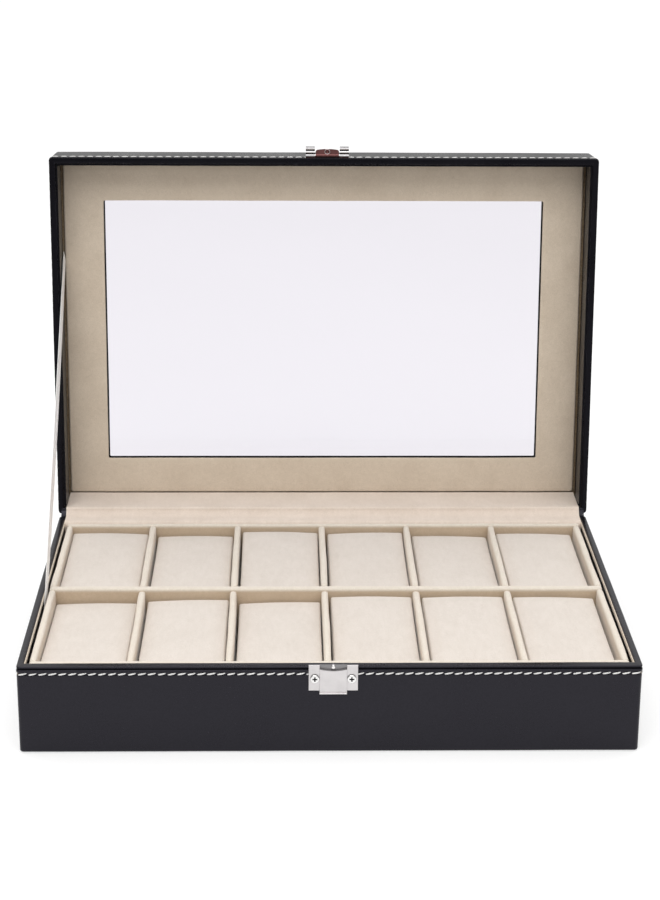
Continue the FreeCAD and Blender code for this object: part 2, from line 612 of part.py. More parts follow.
def hasp():
    # The plate on the lid's front wall ends in two rolled ears that carry the flap's pin.
    face = -HALF_D
    wing = KEEPER_WIDTH / 2
    ear_in = HASP_PIN_HALF - HASP_EAR_LENGTH
    plate_y = face - HASP_PLATE
    flat = block(HASP_X - wing, HASP_X + wing, plate_y, face, HASP_PLATE_LOW, HASP_PLATE_TOP)
    pieces = [flat.makeFillet(KEEPER_EDGE, edges_on_face(flat, plate_y, HASP_PLATE_LOW + 1))]
    for side in (-1, 1):
        ends = sorted((HASP_X + side * ear_in, HASP_X + side * HASP_PIN_HALF))
        outer_y = HASP_AXIS_Y - (HASP_EAR_ROLLS - 1) * HASP_EAR_PITCH
        low = HASP_AXIS_Z
        pieces.append(block(*ends, plate_y, face, low, HASP_PLATE_LOW))
        for k in range(HASP_EAR_ROLLS):
            pieces.append(rod_x(HASP_EAR_RADIUS, *ends, HASP_AXIS_Y - k * HASP_EAR_PITCH, HASP_AXIS_Z))
        web = HASP_EAR_RADIUS * 0.6
        pieces.append(block(*ends, outer_y, HASP_AXIS_Y, HASP_AXIS_Z - web, HASP_AXIS_Z + web))
    pin_ends = (HASP_X - HASP_PIN_HALF, HASP_X + HASP_PIN_HALF)
    plate = joined(pieces).cut(rod_x(HASP_PIN_RADIUS, *pin_ends, HASP_AXIS_Y, HASP_AXIS_Z))
    plate = without(plate, [screw_hole(*s) for s in HASP_SCREWS])
    pin = rod_x(HASP_PIN_RADIUS, *pin_ends, HASP_AXIS_Y, HASP_AXIS_Z)
    screws = [screw(x, z, y, -1, end, HINGE_SCREW_RADIUS) for x, z, y, end in HASP_SCREWS]
    return {"hasp_plate": plate, "hasp_pin": pin, "hasp_screws": Part.makeCompound(screws)}


def hasp_flap():
    # Built hanging over the stud, then swung out square to the lid's front wall.
    half = HASP_FLAP_WIDTH / 2
    y0 = HASP_AXIS_Y - HASP_FLAP_THICKNESS / 2
    y1 = HASP_AXIS_Y + HASP_FLAP_THICKNESS / 2
    low = KEEPER_SMILE_LOW + HASP_FLAP_CLEARANCE
    tongue = smile(half, low, HASP_FLAP_BOW, HASP_AXIS_Z, y0, y1)
    through = [e for e in tongue.Edges if e.BoundBox.YLength > HASP_FLAP_THICKNESS / 2]
    corners = [e for e in through if e.BoundBox.ZMax < HASP_AXIS_Z - 1]
    tongue = tongue.makeFillet(HASP_FLAP_CORNER, corners)
    eye = rod_x(HASP_EYE_RADIUS, HASP_X - half, HASP_X + half, HASP_AXIS_Y, HASP_AXIS_Z)
    flap = joined([tongue, eye])
    flap = flap.cut(rod_y(HASP_HOLE_RADIUS, y0, y1, HASP_X, STUD_Z))
    bore = HASP_PIN_RADIUS + RUNNING_CLEARANCE
    flap = flap.cut(rod_x(bore, HASP_X - half, HASP_X + half, HASP_AXIS_Y, HASP_AXIS_Z))
    flap.rotate(Vector(0, HASP_AXIS_Y, HASP_AXIS_Z), X_AXIS, -90)
    return flap


def turned_point(y, z):
    # Where a point of the closed lid goes when the lid stands open.
    angle = math.radians(-OPEN_ANGLE)
    dy = y - AXIS_Y
    dz = z - AXIS_Z
    return (AXIS_Y + dy * math.cos(angle) - dz * math.sin(angle),
            AXIS_Z + dy * math.sin(angle) + dz * math.cos(angle))


def stay_ribbon():
    foot = Vector(-RIBBON_X, RIBBON_RIM_Y, BASE_HEIGHT)
    top_y, top_z = turned_point(RIBBON_LID_Y, RIBBON_LID_Z)
    along = Vector(0, top_y - foot.y, top_z - foot.z)
    length = along.Length
    along.normalize()
    across = Vector(0, -along.z, along.y) * (RIBBON_WIDTH / 2)
    low = foot - along * RIBBON_LOW_TAIL
    high = foot + along * (length + RIBBON_HIGH_TAIL)
    outline = [low - across, high - across, high + across, low + across, low - across]
    return Part.Face(Part.makePolygon(outline)).extrude(Vector(RIBBON_THICKNESS, 0, 0))


def hinge_lining():
    # From its tuck behind the tray, over the back rim, up the lid's rim and along the lid's back wall.
    half = STRIP_THICKNESS / 2
    tuck_y = RAIL_FRONT - half
    flat_z = BASE_HEIGHT + half
    wall_y = LID_INNER_Y - half
    rim_z = LID_RIM - half
    bend = []
    for k in range(BEND_STEPS + 1):
        angle = math.radians(90 * k / BEND_STEPS)
        bend_y = RAIL_FRONT + RAIL_ROUND - (RAIL_ROUND + half) * math.cos(angle)
        bend.append((bend_y, BASE_HEIGHT - RAIL_ROUND + (RAIL_ROUND + half) * math.sin(angle)))
    points = [
        (tuck_y, BASE_HEIGHT - RAIL_HEIGHT / 2),
        *bend,
        (HALF_D - RIM_RADIUS, flat_z),
        turned_point(LID_INNER_Y + LID_WALL / 2, rim_z),
        turned_point(wall_y, rim_z),
        turned_point(wall_y, LID_RIM + STRIP_FLAT),
        turned_point(wall_y - STRIP_LIFT, LINING_Z),
    ]
    reach = LID_INNER_X - WALL_LINING - STRIP_THICKNESS
    return strap(points, STRIP_THICKNESS, -reach, reach)


base_hinges, lid_hinges = hinges()
fixed = {}
fixed.update(base_carcass())
fixed.update(tray())
fixed.update(keeper())
fixed.update(base_hinges)
fixed["stay_ribbon"] = stay_ribbon()
fixed["hinge_lining"] = hinge_lining()
fixed.update(pillows())
swung = {}
swung.update(lid_carcass())
swung.update(lid_inside())
swung.update(lid_hinges)
swung.update(hasp())
swung["hasp_flap"] = hasp_flap()
for name, shape in fixed.items():
    save(name, shape)
for name, shape in swung.items():
    save(name, open_lid(shape))
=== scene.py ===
import bpy
import json
import math
import random
from mathutils import Matrix, Vector, noise


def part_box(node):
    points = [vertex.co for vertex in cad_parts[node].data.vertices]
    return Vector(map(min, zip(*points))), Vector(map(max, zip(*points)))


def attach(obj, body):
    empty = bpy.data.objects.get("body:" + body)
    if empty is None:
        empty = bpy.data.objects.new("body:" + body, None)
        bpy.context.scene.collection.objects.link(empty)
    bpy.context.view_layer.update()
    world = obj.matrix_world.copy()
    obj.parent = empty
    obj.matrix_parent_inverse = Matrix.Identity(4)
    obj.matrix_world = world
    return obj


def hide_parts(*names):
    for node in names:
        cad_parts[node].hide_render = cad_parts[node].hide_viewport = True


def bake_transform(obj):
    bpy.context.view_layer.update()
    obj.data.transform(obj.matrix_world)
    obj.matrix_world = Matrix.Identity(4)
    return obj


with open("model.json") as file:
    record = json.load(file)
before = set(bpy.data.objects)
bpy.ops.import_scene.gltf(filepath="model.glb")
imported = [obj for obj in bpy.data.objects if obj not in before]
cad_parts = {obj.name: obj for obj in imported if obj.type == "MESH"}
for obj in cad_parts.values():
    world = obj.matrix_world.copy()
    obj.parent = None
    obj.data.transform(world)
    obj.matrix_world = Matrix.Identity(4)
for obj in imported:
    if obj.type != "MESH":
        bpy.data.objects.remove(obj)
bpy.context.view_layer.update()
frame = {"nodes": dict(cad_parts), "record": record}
scene = bpy.context.scene
MM = 0.001

# Case, in millimetres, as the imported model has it
HALF_W = 150.0
HALF_D = 101.0
BASE_HEIGHT = 45.5
LID_RIM = 46.0
LID_TOP = 79.5
LID_CEILING = 74.1
AXIS_Y = 101.8
AXIS_Z = 45.75
OPEN_ANGLE = math.radians(-95.0)
LID_HALF_W = 150.8
BASE_WALL = 3.5
LID_WALL = 3.5
CORNER = 2.0
INNER_ROUND = 0.8
RIM_FOLD = 1.4
RIM_MIDDLE = 2.1
FRONT_FOLD = 1.0
FRONT_RISE = 0.25
FRONT_BAND = 6.0
FOLD_DEPTH = 13.0
# The shut lid's edge keeps this far behind the keeper plate, which stands up past the base's rim.
KEEPER_CLEAR = 0.12
KEEPER_TOP = 46.8
UNDERSIDE = 0.3
UNDER_BORDER = 14.0
UNDER_ROUND = 0.9
LID_ROUND = 1.8
WINDOW_ROUND = 1.1
WINDOW_CORNER = 0.6
WINDOW_X = 123.5
WINDOW_Y = 75.0
LIP_X = 0.5
LIP_LOW = 1.05
LINING_Z = 71.0
GLASS_LOW = 72.1
PAD_TOP = 6.2
HASP_X = 1.4
HASP_HALF = 11.85
HINGE_X = 95.0
HINGE_HALF = 14.0

# Stitching
STITCH_PITCH = 4.77
STITCH_LENGTH = 4.2
STITCH_RISE = 0.95
STITCH_RADIUS = 0.42
STITCH_DROP = 3.8
STITCH_LIFT = 0.42
STITCH_SINK = 0.22
STITCH_INSET = 0.12
STITCH_ENDS = 1.5
EDGE_ROUND = 0.5

# Section of the leather's outer face, by depth below the rounded edge.
# SLOT_FROM and SLOT_TO are measured from the rim itself.
SLOT_DEPTH = 0.6
SLOT_MIDDLE = 0.8
SLOT_HALF = 0.45
SLOT_CORNER = 0.3
SLOT_FROM = 0.85
SLOT_TO = 1.8
CHANNEL_DEPTH = 0.3
CHANNEL_HALF = 0.62
SWELL = 0.16
SWELL_MIDDLE = 1.9
SWELL_HALF = 0.7
PLAIN_START = 8.5
PLAIN_STEP = 3.5
LEATHER_RIPPLE = 0.09
LEATHER_RIPPLE_SIZE = 34.0

# The tray's velvet grows lighter over this depth below the base's rim: painted light on the lit tops of its
# boards, with their shaded faces below painted in the darker tone.
CREST_LOW = 2.4
CREST_HIGH = 0.7

# A board's top dips this much, over this length, where it meets the next board.
END_DIP = 0.9
END_REACH = 5.0


def swing(p):
    # A point of the shut lid, where it stands with the lid open.
    y = p[1] - AXIS_Y
    z = p[2] - AXIS_Z
    c = math.cos(OPEN_ANGLE)
    s = math.sin(OPEN_ANGLE)
    return (p[0], AXIS_Y + y * c - z * s, AXIS_Z + y * s + z * c)


# Materials

def shader(name, colour, roughness, **values):
    made = bpy.data.materials.new(name)
    made.use_nodes = True
    bsdf = made.node_tree.nodes["Principled BSDF"]
    bsdf.inputs["Base Color"].default_value = (*colour, 1.0)
    bsdf.inputs["Roughness"].default_value = roughness
    for key, value in values.items():
        bsdf.inputs[key.replace("_", " ")].default_value = value
    return made, made.node_tree, bsdf


def add(tree, kind, values=None, **settings):
    made = tree.nodes.new(kind)
    for key, value in settings.items():
        setattr(made, key, value)
    for key, value in (values or {}).items():
        made.inputs[key].default_value = value
    return made


def place(tree, stretch=(1.0, 1.0, 1.0)):
    coords = add(tree, "ShaderNodeTexCoord")
    mapping = add(tree, "ShaderNodeMapping", {"Scale": stretch})
    tree.links.new(coords.outputs["Object"], mapping.inputs["Vector"])
    return mapping.outputs["Vector"]


def noise_at(tree, where, scale, detail=2.0, roughness=0.5):
    made = add(tree, "ShaderNodeTexNoise", {"Scale": scale, "Detail": detail, "Roughness": roughness})
    tree.links.new(where, made.inputs["Vector"])
    return made.outputs["Fac"]


def ramp(tree, factor, stops):
    made = add(tree, "ShaderNodeValToRGB")
    points = made.color_ramp.elements
    while len(points) < len(stops):
        points.new(0.5)
    for point, (position, colour) in zip(points, stops):
        point.position = position
        point.color = (*colour, 1.0)
    tree.links.new(factor, made.inputs["Fac"])
    return made.outputs["Color"]


def spread_value(tree, factor, low, high, start=0.3, end=0.7):
    span = {"From Min": start, "From Max": end, "To Min": low, "To Max": high}
    made = add(tree, "ShaderNodeMapRange", span)
    tree.links.new(factor, made.inputs["Value"])
    return made.outputs["Result"]


def blend_colours(tree, factor, first, second, mode="MIX"):
    # A mix node's sockets 0, 6 and 7 are its factor and its two colours, and its output 2 is a colour.
    made = add(tree, "ShaderNodeMix", data_type="RGBA", blend_type=mode)
    for link, socket in ((factor, made.inputs[0]), (first, made.inputs[6]), (second, made.inputs[7])):
        if isinstance(link, (int, float)):
            socket.default_value = link
        elif isinstance(link, tuple):
            socket.default_value = (*link, 1.0)
        else:
            tree.links.new(link, socket)
    return made.outputs[2]


def bump(tree, bsdf, height, strength, distance, before=None):
    made = add(tree, "ShaderNodeBump", {"Strength": strength, "Distance": distance})
    tree.links.new(height, made.inputs["Height"])
    if before:
        tree.links.new(before, made.inputs["Normal"])
    tree.links.new(made.outputs["Normal"], bsdf.inputs["Normal"])
    return made.outputs["Normal"]


def leather_material(name, gloss):
    made, tree, bsdf = shader(name, (0.005, 0.0048, 0.0066), 0.29, Specular_IOR_Level=gloss)
    bsdf.inputs["Specular Tint"].default_value = (0.87, 0.84, 1.0, 1.0)
    where = place(tree)
    cells = add(tree, "ShaderNodeTexVoronoi", {"Scale": 1150.0, "Smoothness": 0.6, "Randomness": 1.0},
                feature="SMOOTH_F1")
    tree.links.new(where, cells.inputs["Vector"])
    pebble = cells.outputs["Distance"]
    fine = noise_at(tree, where, 2600.0, 3.0)
    cloud = noise_at(tree, where, 38.0, 3.0)
    tone = ramp(tree, cloud, [(0.3, (0.003, 0.0028, 0.004)), (0.7, (0.005, 0.0048, 0.0066))])
    valley = ramp(tree, pebble, [(0.25, (1.0, 1.0, 1.0)), (0.75, (0.55, 0.55, 0.56))])
    tree.links.new(blend_colours(tree, 1.0, tone, valley, "MULTIPLY"), bsdf.inputs["Base Color"])
    rough = blend_colours(tree, 0.4, cloud, fine)
    tree.links.new(spread_value(tree, rough, 0.23, 0.36), bsdf.inputs["Roughness"])
    first = bump(tree, bsdf, pebble, 0.16, 0.0002)
    bump(tree, bsdf, fine, 0.1, 0.0001, first)
    return made


def height_mask(tree, axis, low, high):
    # Nothing below one place along an axis, all of it above another, both in millimetres.
    split = add(tree, "ShaderNodeSeparateXYZ")
    tree.links.new(place(tree), split.inputs["Vector"])
    return spread_value(tree, split.outputs[axis], 0.0, 1.0, low * MM, high * MM)


def velvet_material(name, light, dark, sheen, top=None):
    made, tree, bsdf = shader(name, light, 0.92, Sheen_Weight=sheen, Sheen_Roughness=0.45,
                              Specular_IOR_Level=0.12)
    bsdf.inputs["Sheen Tint"].default_value = (0.98, 0.955, 0.92, 1.0)
    where = place(tree)
    pile = noise_at(tree, where, 2400.0, 2.0, 0.7)
    nap = noise_at(tree, where, 55.0, 4.0, 0.55)
    brushed = noise_at(tree, place(tree, (1.0, 0.35, 1.0)), 420.0, 3.0)
    tone = ramp(tree, nap, [(0.32, dark), (0.62, light)])
    # top is a lighter tone painted over the highest part, a painted highlight where light from above falls
    # on the boards' tops.
    if top:
        painted_top_light = height_mask(tree, "Z", BASE_HEIGHT - CREST_LOW, BASE_HEIGHT - CREST_HIGH)
        tone = blend_colours(tree, painted_top_light, tone, top)
    speck = ramp(tree, pile, [(0.3, (0.84, 0.83, 0.81)), (0.62, (1.0, 1.0, 1.0))])
    streak = ramp(tree, brushed, [(0.3, (0.95, 0.945, 0.935)), (0.7, (1.0, 1.0, 1.0))])
    worked = blend_colours(tree, 1.0, tone, speck, "MULTIPLY")
    tree.links.new(blend_colours(tree, 1.0, worked, streak, "MULTIPLY"), bsdf.inputs["Base Color"])
    first = bump(tree, bsdf, pile, 0.28, 0.0002)
    bump(tree, bsdf, brushed, 0.15, 0.0003, first)
    return made


def satin_material():
    made, tree, bsdf = shader("white_satin", (0.93, 0.93, 0.93), 0.36, Transmission_Weight=0.4, IOR=1.2,
                              Sheen_Weight=0.3)
    where = place(tree)
    weft = add(tree, "ShaderNodeTexWave", {"Scale": 900.0, "Distortion": 0.6, "Detail": 1.0},
               bands_direction="Z")
    tree.links.new(where, weft.inputs["Vector"])
    slub = noise_at(tree, where, 300.0, 3.0)
    tone = ramp(tree, slub, [(0.3, (0.92, 0.92, 0.92)), (0.7, (0.98, 0.98, 0.98))])
    tree.links.new(tone, bsdf.inputs["Base Color"])
    tree.links.new(spread_value(tree, slub, 0.34, 0.5), bsdf.inputs["Roughness"])
    bump(tree, bsdf, weft.outputs["Fac"], 0.25, 0.0001)
    return made


def thread_material():
    made, tree, bsdf = shader("white_thread", (0.88, 0.87, 0.85), 0.6, Sheen_Weight=0.3)
    where = place(tree)
    fibre = noise_at(tree, where, 2600.0, 2.0)
    tone = ramp(tree, fibre, [(0.3, (0.62, 0.61, 0.60)), (0.65, (0.82, 0.81, 0.80))])
    tree.links.new(tone, bsdf.inputs["Base Color"])
    bump(tree, bsdf, fibre, 0.4, 0.0001)
    return made


def metal_material(name, colour, low, high, brush):
    made, tree, bsdf = shader(name, colour, (low + high) / 2, Metallic=1.0)
    grain = noise_at(tree, place(tree, brush), 700.0, 3.0, 0.6)
    smear = noise_at(tree, place(tree), 160.0, 2.0)
    worn = blend_colours(tree, 0.5, grain, smear)
    tree.links.new(spread_value(tree, worn, low, high), bsdf.inputs["Roughness"])
    dull = tuple(c * 0.9 for c in colour)
    tree.links.new(ramp(tree, smear, [(0.35, dull), (0.65, colour)]), bsdf.inputs["Base Color"])
    bump(tree, bsdf, grain, 0.06, 0.0001)
    return made


def recessed_metal(name, colour, low, high, shade, start, end):
    # Metal whose hollows are painted dark, painted shade: shade is its colour beyond end, measured back
    # along y.
    made = metal_material(name, colour, low, high, (0.15, 1.0, 1.0))
    tree = made.node_tree
    bsdf = tree.nodes["Principled BSDF"]
    worked = bsdf.inputs["Base Color"].links[0].from_socket
    painted_shade_mask = height_mask(tree, "Y", start, end)
    tree.links.new(blend_colours(tree, painted_shade_mask, worked, shade), bsdf.inputs["Base Color"])
    return made


def rolled_metal(name, colour, shade, flat, first, pitch):
    # Bright rolls over gaps painted dark as the shade between them, pitch apart upwards from first, on a
    # darker flat plate below them.
    made = metal_material(name, colour, 0.08, 0.18, (1.0, 1.0, 1.0))
    tree = made.node_tree
    bsdf = tree.nodes["Principled BSDF"]
    worked = bsdf.inputs["Base Color"].links[0].from_socket
    split = add(tree, "ShaderNodeSeparateXYZ")
    tree.links.new(place(tree), split.inputs["Vector"])
    turns = add(tree, "ShaderNodeMath", {1: first * MM}, operation="SUBTRACT")
    tree.links.new(split.outputs["Z"], turns.inputs[0])
    angle = add(tree, "ShaderNodeMath", {1: 2 * math.pi / (pitch * MM)}, operation="MULTIPLY")
    tree.links.new(turns.outputs[0], angle.inputs[0])
    wave = add(tree, "ShaderNodeMath", operation="COSINE")
    tree.links.new(angle.outputs[0], wave.inputs[0])
    # The gaps between the rolls are painted dark, painted shade.
    painted_gap_shade = spread_value(tree, wave.outputs[0], 1.0, 0.0, -0.3, 0.3)
    rolls = blend_colours(tree, painted_gap_shade, worked, shade)
    above = height_mask(tree, "Z", first - 0.75, first - 0.45)
    tree.links.new(blend_colours(tree, above, flat, rolls), bsdf.inputs["Base Color"])
    return made


def glass_material():
    made, tree, bsdf = shader("window_glass", (0.793, 0.774, 0.82), 0.0, Transmission_Weight=1.0, IOR=1.22)
    film = noise_at(tree, place(tree), 30.0, 3.0)
    tree.links.new(spread_value(tree, film, 0.0, 0.012), bsdf.inputs["Roughness"])
    return made


def board_material():
    made, tree, bsdf = shader("raw_board", (0.42, 0.30, 0.19), 0.85)
    where = place(tree)
    chips = noise_at(tree, where, 900.0, 4.0, 0.7)
    tone = ramp(tree, chips, [(0.3, (0.30, 0.21, 0.13)), (0.7, (0.50, 0.38, 0.25))])
    tree.links.new(tone, bsdf.inputs["Base Color"])
    bump(tree, bsdf, chips, 0.3, 0.0002)
    return made


def felt_material():
    made, tree, bsdf = shader("black_felt", (0.012, 0.012, 0.013), 0.95, Sheen_Weight=0.3)
    where = place(tree)
    fibre = noise_at(tree, where, 1800.0, 4.0, 0.75)
    tone = ramp(tree, fibre, [(0.3, (0.007, 0.007, 0.008)), (0.7, (0.026, 0.026, 0.028))])
    tree.links.new(tone, bsdf.inputs["Base Color"])
    bump(tree, bsdf, fibre, 0.5, 0.0003)
    return made


LEATHER = leather_material("black_leather", 0.35)
LID_LEATHER = leather_material("lid_leather", 0.12)
# Leather with its reflection nearly taken away, painted shade for the slot under the rim.
SLOT_SHADE_LEATHER = leather_material("slot_shade_leather", 0.04)
PILLOW_VELVET = velvet_material("pillow_velvet", (0.705, 0.645, 0.592), (0.68, 0.62, 0.567), 0.6)
# The tray velvet's top tone is painted light on the boards' tops; its darker tone below stands for their
# shaded faces.
TRAY_VELVET = velvet_material("tray_velvet", (0.60, 0.48, 0.355), (0.56, 0.445, 0.325), 0.5,
                              top=(0.74, 0.675, 0.59))
# The hinge strip is the tray's velvet painted lighter, painted light for where it lies up in the light.
LIT_STRIP_VELVET = velvet_material("strip_velvet_painted_light", (0.79, 0.685, 0.60), (0.74, 0.635, 0.55), 0.5)
LID_VELVET = velvet_material("lid_velvet", (0.70, 0.60, 0.487), (0.655, 0.556, 0.447), 0.3)
SATIN = satin_material()
THREAD = thread_material()
SATIN_NICKEL = metal_material("satin_nickel", (0.80, 0.785, 0.78), 0.24, 0.40, (0.15, 1.0, 1.0))
BRIGHT_NICKEL = metal_material("bright_nickel", (0.84, 0.82, 0.81), 0.07, 0.16, (1.0, 1.0, 1.0))
# The keeper's recess and the screws' cross slots are painted dark, painted shade in the hollows.
KEEPER_NICKEL = recessed_metal("keeper_nickel", (0.66, 0.635, 0.635), 0.26, 0.42,
                               shade=(0.25, 0.245, 0.25), start=-102.3, end=-101.8)
SCREW_NICKEL = recessed_metal("screw_nickel", (0.84, 0.83, 0.82), 0.1, 0.2,
                              shade=(0.01, 0.01, 0.01), start=-103.25, end=-103.0)
FLAP_NICKEL = metal_material("flap_nickel", (0.165, 0.072, 0.07), 0.34, 0.52, (0.4, 1.0, 1.0))
BEAD_NICKEL = metal_material("bead_nickel", (0.55, 0.46, 0.46), 0.15, 0.28, (1.0, 1.0, 1.0))
ROLL_NICKEL = rolled_metal("roll_nickel", (0.70, 0.68, 0.69), shade=(0.012, 0.01, 0.011),
                           flat=(0.14, 0.08, 0.08), first=249.0, pitch=1.893)
HINGE_METAL = metal_material("hinge_metal", (0.70, 0.69, 0.68), 0.2, 0.34, (0.2, 1.0, 1.0))
GLASS = glass_material()
BOARD = board_material()
FELT = felt_material()

FINISH = {
    "leather": LEATHER,
    "board": BOARD,
    "felt": FELT,
    "tray_velvet": TRAY_VELVET,
    "lid_velvet": LID_VELVET,
    "pillow_velvet": PILLOW_VELVET,
    "ribbon": SATIN,
    "glass": GLASS,
    "chrome": SATIN_NICKEL,
    "steel": BRIGHT_NICKEL,
    "hinge_metal": HINGE_METAL,
}
for part in frame["record"]["subparts"]:
    node = frame["nodes"][part["node"]]
    node.data.materials.clear()
    node.data.materials.append(FINISH[part["material_slot"]])
HASP_FINISH = {
    "keeper_plate": KEEPER_NICKEL,
    "keeper_screws": SCREW_NICKEL,
    "hasp_plate": ROLL_NICKEL,
    "hasp_flap": FLAP_NICKEL,
}
for name, material in HASP_FINISH.items():
    frame["nodes"][name].data.materials[0] = material


# Mesh helpers

def make(name, points, faces, material, slot, body=None, replaces=(), lid=False, sharp=50.0):
    # One piece of the model from points in millimetres; a piece of the lid is given with the lid shut.
    if lid:
        points = [swing(p) for p in points]
    mesh = bpy.data.meshes.new(name)
    mesh.from_pydata([tuple(c * MM for c in p) for p in points], [], faces)
    mesh.materials.append(material)
    mesh.polygons.foreach_set("use_smooth", [True] * len(mesh.polygons))
    mesh.set_sharp_from_angle(angle=math.radians(sharp))
    mesh.update()
    made = bpy.data.objects.new(name, mesh)
    scene.collection.objects.link(made)
    if replaces:
        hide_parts(*replaces)
    if body:
        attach(made, body)
    return made


def loop(half_x, half_y, radius, z, across=76, along=52, turn=6):
    # A rounded rectangle, anticlockwise from above, with the same count of points whatever its size.
    points = []
    corners = ((1, -1, -90), (1, 1, 0), (-1, 1, 90), (-1, -1, 180))
    ends = []
    for sx, sy, start in corners:
        arc = []
        for k in range(turn + 1):
            angle = math.radians(start + 90.0 * k / turn)
            arc.append((sx * (half_x - radius) + radius * math.cos(angle),
                        sy * (half_y - radius) + radius * math.sin(angle), z))
        ends.append(arc)
    counts = (along, across, along, across)
    for i, arc in enumerate(ends):
        points += arc
        a = Vector(arc[-1])
        b = Vector(ends[(i + 1) % 4][0])
        points += [tuple(a.lerp(b, k / counts[i])) for k in range(1, counts[i])]
    return points


def shifted(ring, y):
    return [(p[0], p[1] + y, p[2]) for p in ring]


def quarter_turn(count):
    return [math.radians(90.0 * k / count) for k in range(count + 1)]


def skin(loops):
    # Faces between each closed loop of points and the next.
    n = len(loops[0])
    faces = []
    for k in range(len(loops) - 1):
        for i in range(n):
            j = (i + 1) % n
            faces.append(((k + 1) * n + i, (k + 1) * n + j, k * n + j, k * n + i))
    return [p for ring in loops for p in ring], faces


def steps(low, high, radius_low, radius_high, step):
    # Places from low to high, closer together inside both rounded ends.
    shares = (0.0, 0.22, 0.45, 0.7)
    span = high - low - radius_low - radius_high
    count = max(1, round(span / step))
    middle = [low + radius_low + span * k / count for k in range(count + 1)]
    first = [low + radius_low * s for s in shares] if radius_low else []
    last = [high - radius_high * s for s in reversed(shares)] if radius_high else []
    return first + middle + last


def lattice(xs, ys, zs):
    # The six faces of a block as one grid of points, ready to be rounded.
    index = {}
    points = []
    faces = []

    def at(i, j, k):
        if (i, j, k) not in index:
            index[(i, j, k)] = len(points)
            points.append((xs[i], ys[j], zs[k]))
        return index[(i, j, k)]

    nx, ny, nz = len(xs) - 1, len(ys) - 1, len(zs) - 1
    for i in range(nx):
        for j in range(ny):
            faces.append((at(i, j, nz), at(i + 1, j, nz), at(i + 1, j + 1, nz), at(i, j + 1, nz)))
            faces.append((at(i, j + 1, 0), at(i + 1, j + 1, 0), at(i + 1, j, 0), at(i, j, 0)))
    for i in range(nx):
        for k in range(nz):
            faces.append((at(i, 0, k), at(i + 1, 0, k), at(i + 1, 0, k + 1), at(i, 0, k + 1)))
            faces.append((at(i, ny, k + 1), at(i + 1, ny, k + 1), at(i + 1, ny, k), at(i, ny, k)))
    for j in range(ny):
        for k in range(nz):
            faces.append((at(0, j, k + 1), at(0, j + 1, k + 1), at(0, j + 1, k), at(0, j, k)))
            faces.append((at(nx, j, k), at(nx, j + 1, k), at(nx, j + 1, k + 1), at(nx, j, k + 1)))
    return points, faces


def rounded(point, low, high, radius):
    # Moves a point of a block's surface on to the same block with rounded edges.
    inner = []
    for c, lo, hi in zip(point, low, high):
        inner.append(min(max(c, lo + radius), hi - radius))
    off = Vector(point) - Vector(inner)
    if off.length < 1e-9:
        return point
    return tuple(Vector(inner) + off.normalized() * radius)


def soft_board(low, high, radius, wave, seed, step=4.0, dip=0.0, dip_ends=(False, False)):
    # A covered board: soft edges, faces and top that wander a little along it, dipping towards marked ends.
    xs = steps(low[0], high[0], radius, radius, step)
    ys = steps(low[1], high[1], radius, radius, step)
    zs = steps(low[2], high[2], 0.0, radius, 6.0)
    points, faces = lattice(xs, ys, zs)
    under = [low[0], low[1], low[2] - 2 * radius]
    long_axis = 0 if high[0] - low[0] > high[1] - low[1] else 1
    thin = 1 - long_axis
    middle = (low[thin] + high[thin]) / 2
    shaped = []
    for p in points:
        q = list(rounded(p, under, high, radius))
        s = q[long_axis]
        share = (q[2] - low[2]) / (high[2] - low[2])
        lean = noise.noise(Vector((s * 0.03, seed * 7.3, 1.7))) * wave * 1.6
        swell = noise.noise(Vector((s * 0.08, q[2] * 0.1, seed * 3.1))) * wave
        q[thin] += share * lean + (swell if q[thin] > middle else -swell)
        q[2] += share ** 6 * (noise.noise(Vector((s * 0.05, seed * 2.9, 9.1))) * wave * 1.4 - dip)
        for end, edge in zip(dip_ends, (low[long_axis], high[long_axis])):
            near = abs(s - edge)
            if end and near < END_REACH:
                q[2] -= share ** 8 * END_DIP * (1 - near / END_REACH) ** 2
        shaped.append(tuple(q))
    return shaped, faces


def merged(groups):
    points = []
    faces = []
    for some_points, some_faces in groups:
        start = len(points)
        points += some_points
        faces += [tuple(i + start for i in face) for face in some_faces]
    return points, faces


def ripple(made, amount, size, seed):
    # Moves every point along its normal by a slow random amount, so no face is dead flat.
    mesh = made.data
    normals = [v.normal.copy() for v in mesh.vertices]
    for v, n in zip(mesh.vertices, normals):
        v.co += n * noise.noise(v.co / (size * MM) + Vector((seed, 0.0, 0.0))) * amount * MM
    mesh.update()


# Leather

def arc_profile(inset, z, radius, start, end, count):
    # Points on an arc in the section through a wall; inset is measured in from the outer face.
    points = []
    for k in range(count + 1):
        angle = math.radians(start + (end - start) * k / count)
        points.append((inset + radius * math.cos(angle), z + radius * math.sin(angle)))
    return points


def wall_face(edge, far, direction):
    # The outer face from the rim's edge on: a slot under the edge, a sewn channel, then the plain wall.
    depths = [0.0, 0.2, 0.32, 0.4, 0.5, 0.8, 1.1, 1.2, 1.28, 1.45, 1.7]
    depths += [2.2, 2.7, 3.0, 3.3, 3.6, 3.9, 4.2, 4.6, 5.2, 6.5]
    reach = abs(far - edge)
    plain = PLAIN_START
    while plain < reach:
        depths.append(plain)
        plain += PLAIN_STEP
    points = []
    for depth in depths:
        groove = SLOT_DEPTH * math.exp(-((depth - SLOT_MIDDLE) / SLOT_HALF) ** 8)
        channel = CHANNEL_DEPTH * math.exp(-((depth + EDGE_ROUND - STITCH_DROP) / CHANNEL_HALF) ** 2)
        swell = -SWELL * math.exp(-((depth - SWELL_MIDDLE) / SWELL_HALF) ** 2)
        points.append((groove + channel + swell, edge + direction * depth))
    return points


